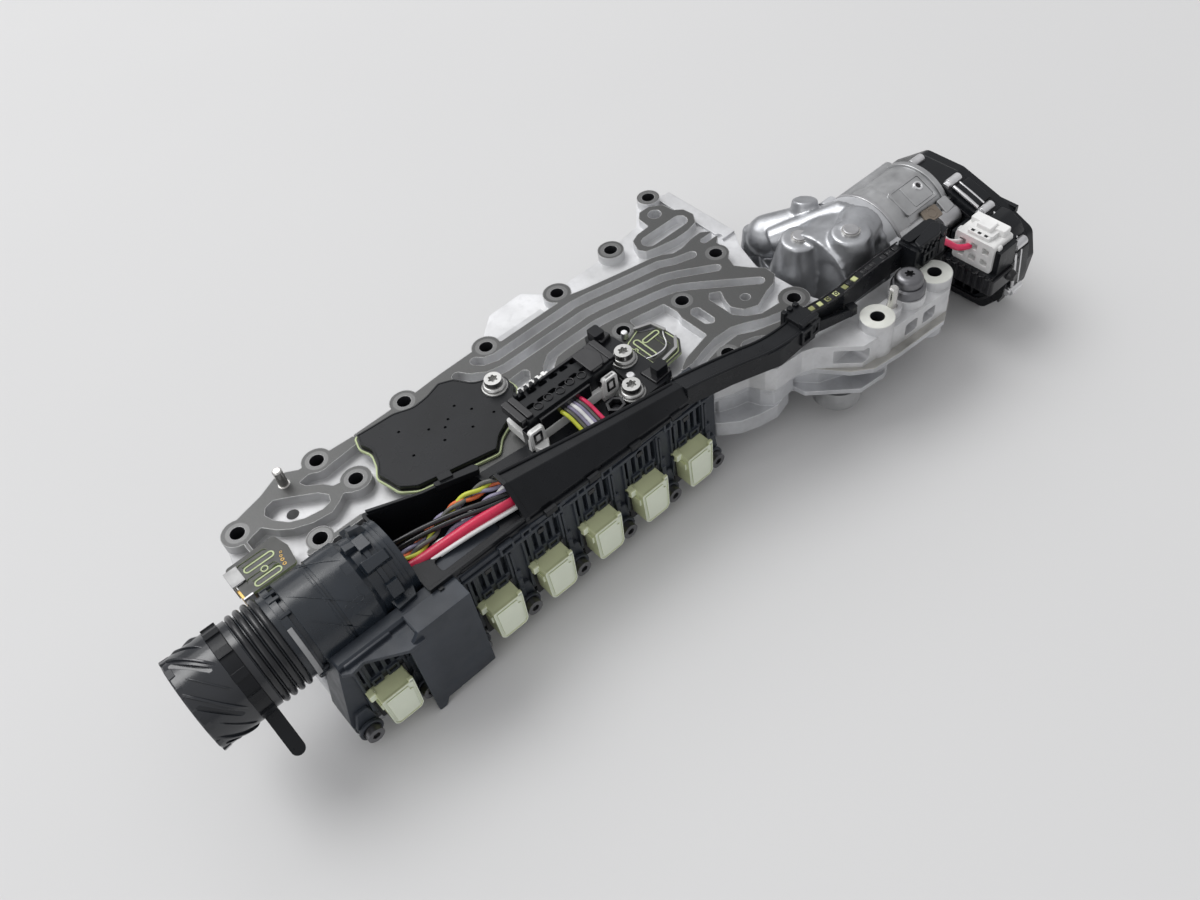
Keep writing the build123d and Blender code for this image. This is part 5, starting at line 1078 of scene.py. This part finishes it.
plug = Solid()
plug.band(rect(-179.6, -24.6, -146.4, -2, 2), rect(-178, -23, -148, -3.4, 1.5), 439.5, 443, side)
plug.prism(rect(438, -171.5, 455, -154.5, 1.5), -1, 1.6, 0.4)
plug.prism(rect(448, -176, 455.5, -150, 1.2), -1.2, 3.8, 0.5)
plug.prism(rect(443, -168.5, 452, -157.5, 1.2), 1.4, 5.4, 0.6)
plug.slot = 1
plug.plates(0.3, *((438.6, y - 1.2, 441, y + 1.2, 1.4, 1.9) for y in (-168, -163, -158)))
plug.plates(0.3, *((430.6, 5.2 * k - 182.6, 434, 5.2 * k - 180.6, -35, -22.2) for k in range(8)))
plug.prism(rect(431.5, -184.5, 455, -142.5, 2), -36, -24.2, 0.6)
plug.rod((452, -184, -30), (452, -188.5, -30), 4.2, 3.4, 20, 0.8)
plug.done("motor_socket", [WHITE, GLOSS], bevel=0.3)

# --- castings: bare rings round the bolts of the pump flange
cast = Solid()
for u, v, radius in ((337.5, -163.4, 10.9), (392.6, -163.8, 11.3)):
    cast.ring(u, v, radius, 4.62, -0.3, 0.22, 40)
cast.done("flange_rings", LOOKS["flange_ring"], bevel=0.15, segments=1)


# --- floor, world and lights
def place_light(name, kind, power, aim):
    """A light that shines along the aim."""
    lamp = add_object(name, fill(bpy.data.lights.new(name, kind), energy=power))
    lamp.rotation_euler = aim.to_track_quat("-Z", "Y").to_euler()
    return lamp


REACH = 9.0
floor_z = cad_box[0][2]
floor_mesh = bpy.data.meshes.new("floor")
floor_mesh.from_pydata([(x, y, floor_z) for x, y in rect(-REACH, -REACH, REACH, REACH)], [], [(0, 1, 2, 3)])
floor = add_object("floor", floor_mesh)
maker = Maker("floor_look")
tone = maker.mix(maker.cloud(3, 2.0, 0.3, 0.7), (0.645, 0.645, 0.645), (0.655, 0.655, 0.655))
floor_mesh.materials.append(maker.done(tone, 0.85, Specular_IOR_Level=0.15))

world = bpy.data.worlds.new("studio")
scene.world = world
sky = Nodes(world)
height = sky.add("SeparateXYZ", sky.add("TexCoord").outputs["Generated"]).outputs[2]
ramp = sky.add("ValToRGB", height)
for stop, position, tone in zip(ramp.color_ramp.elements, (0.0, 0.9),
                                ((0.42, 0.42, 0.43, 1), (0.72, 0.72, 0.73, 1))):
    fill(stop, position=position, color=tone)
lit = sky.add("Background", ramp.outputs[0], 0.92)
seen = sky.add("Background", (0.7, 0.7, 0.705))
camera_ray = sky.add("LightPath").outputs["Is Camera Ray"]
both = sky.add("MixShader", camera_ray, lit.outputs[0], seen.outputs[0])
sky.add("OutputWorld", both.outputs[0])

place_light("key", "SUN", 1.1, Vector((0.25, -0.62, -1.0))).data.angle = math.radians(35)
for name, place, target, size, power in (
    ("softbox", (0.05, 1.5, 1.7), (0.2, -0.05, 0), (2.7, 1.7), 16),
    ("side", (-1.6, -0.6, 1.1), (0.1, -0.1, 0), (1.3, 1.9), 5.5),
):
    lamp = place_light(name, "AREA", power, Vector(target) - Vector(place))
    lamp.location = place
    fill(lamp.data, shape="RECTANGLE", size=size[0], size_y=size[1])
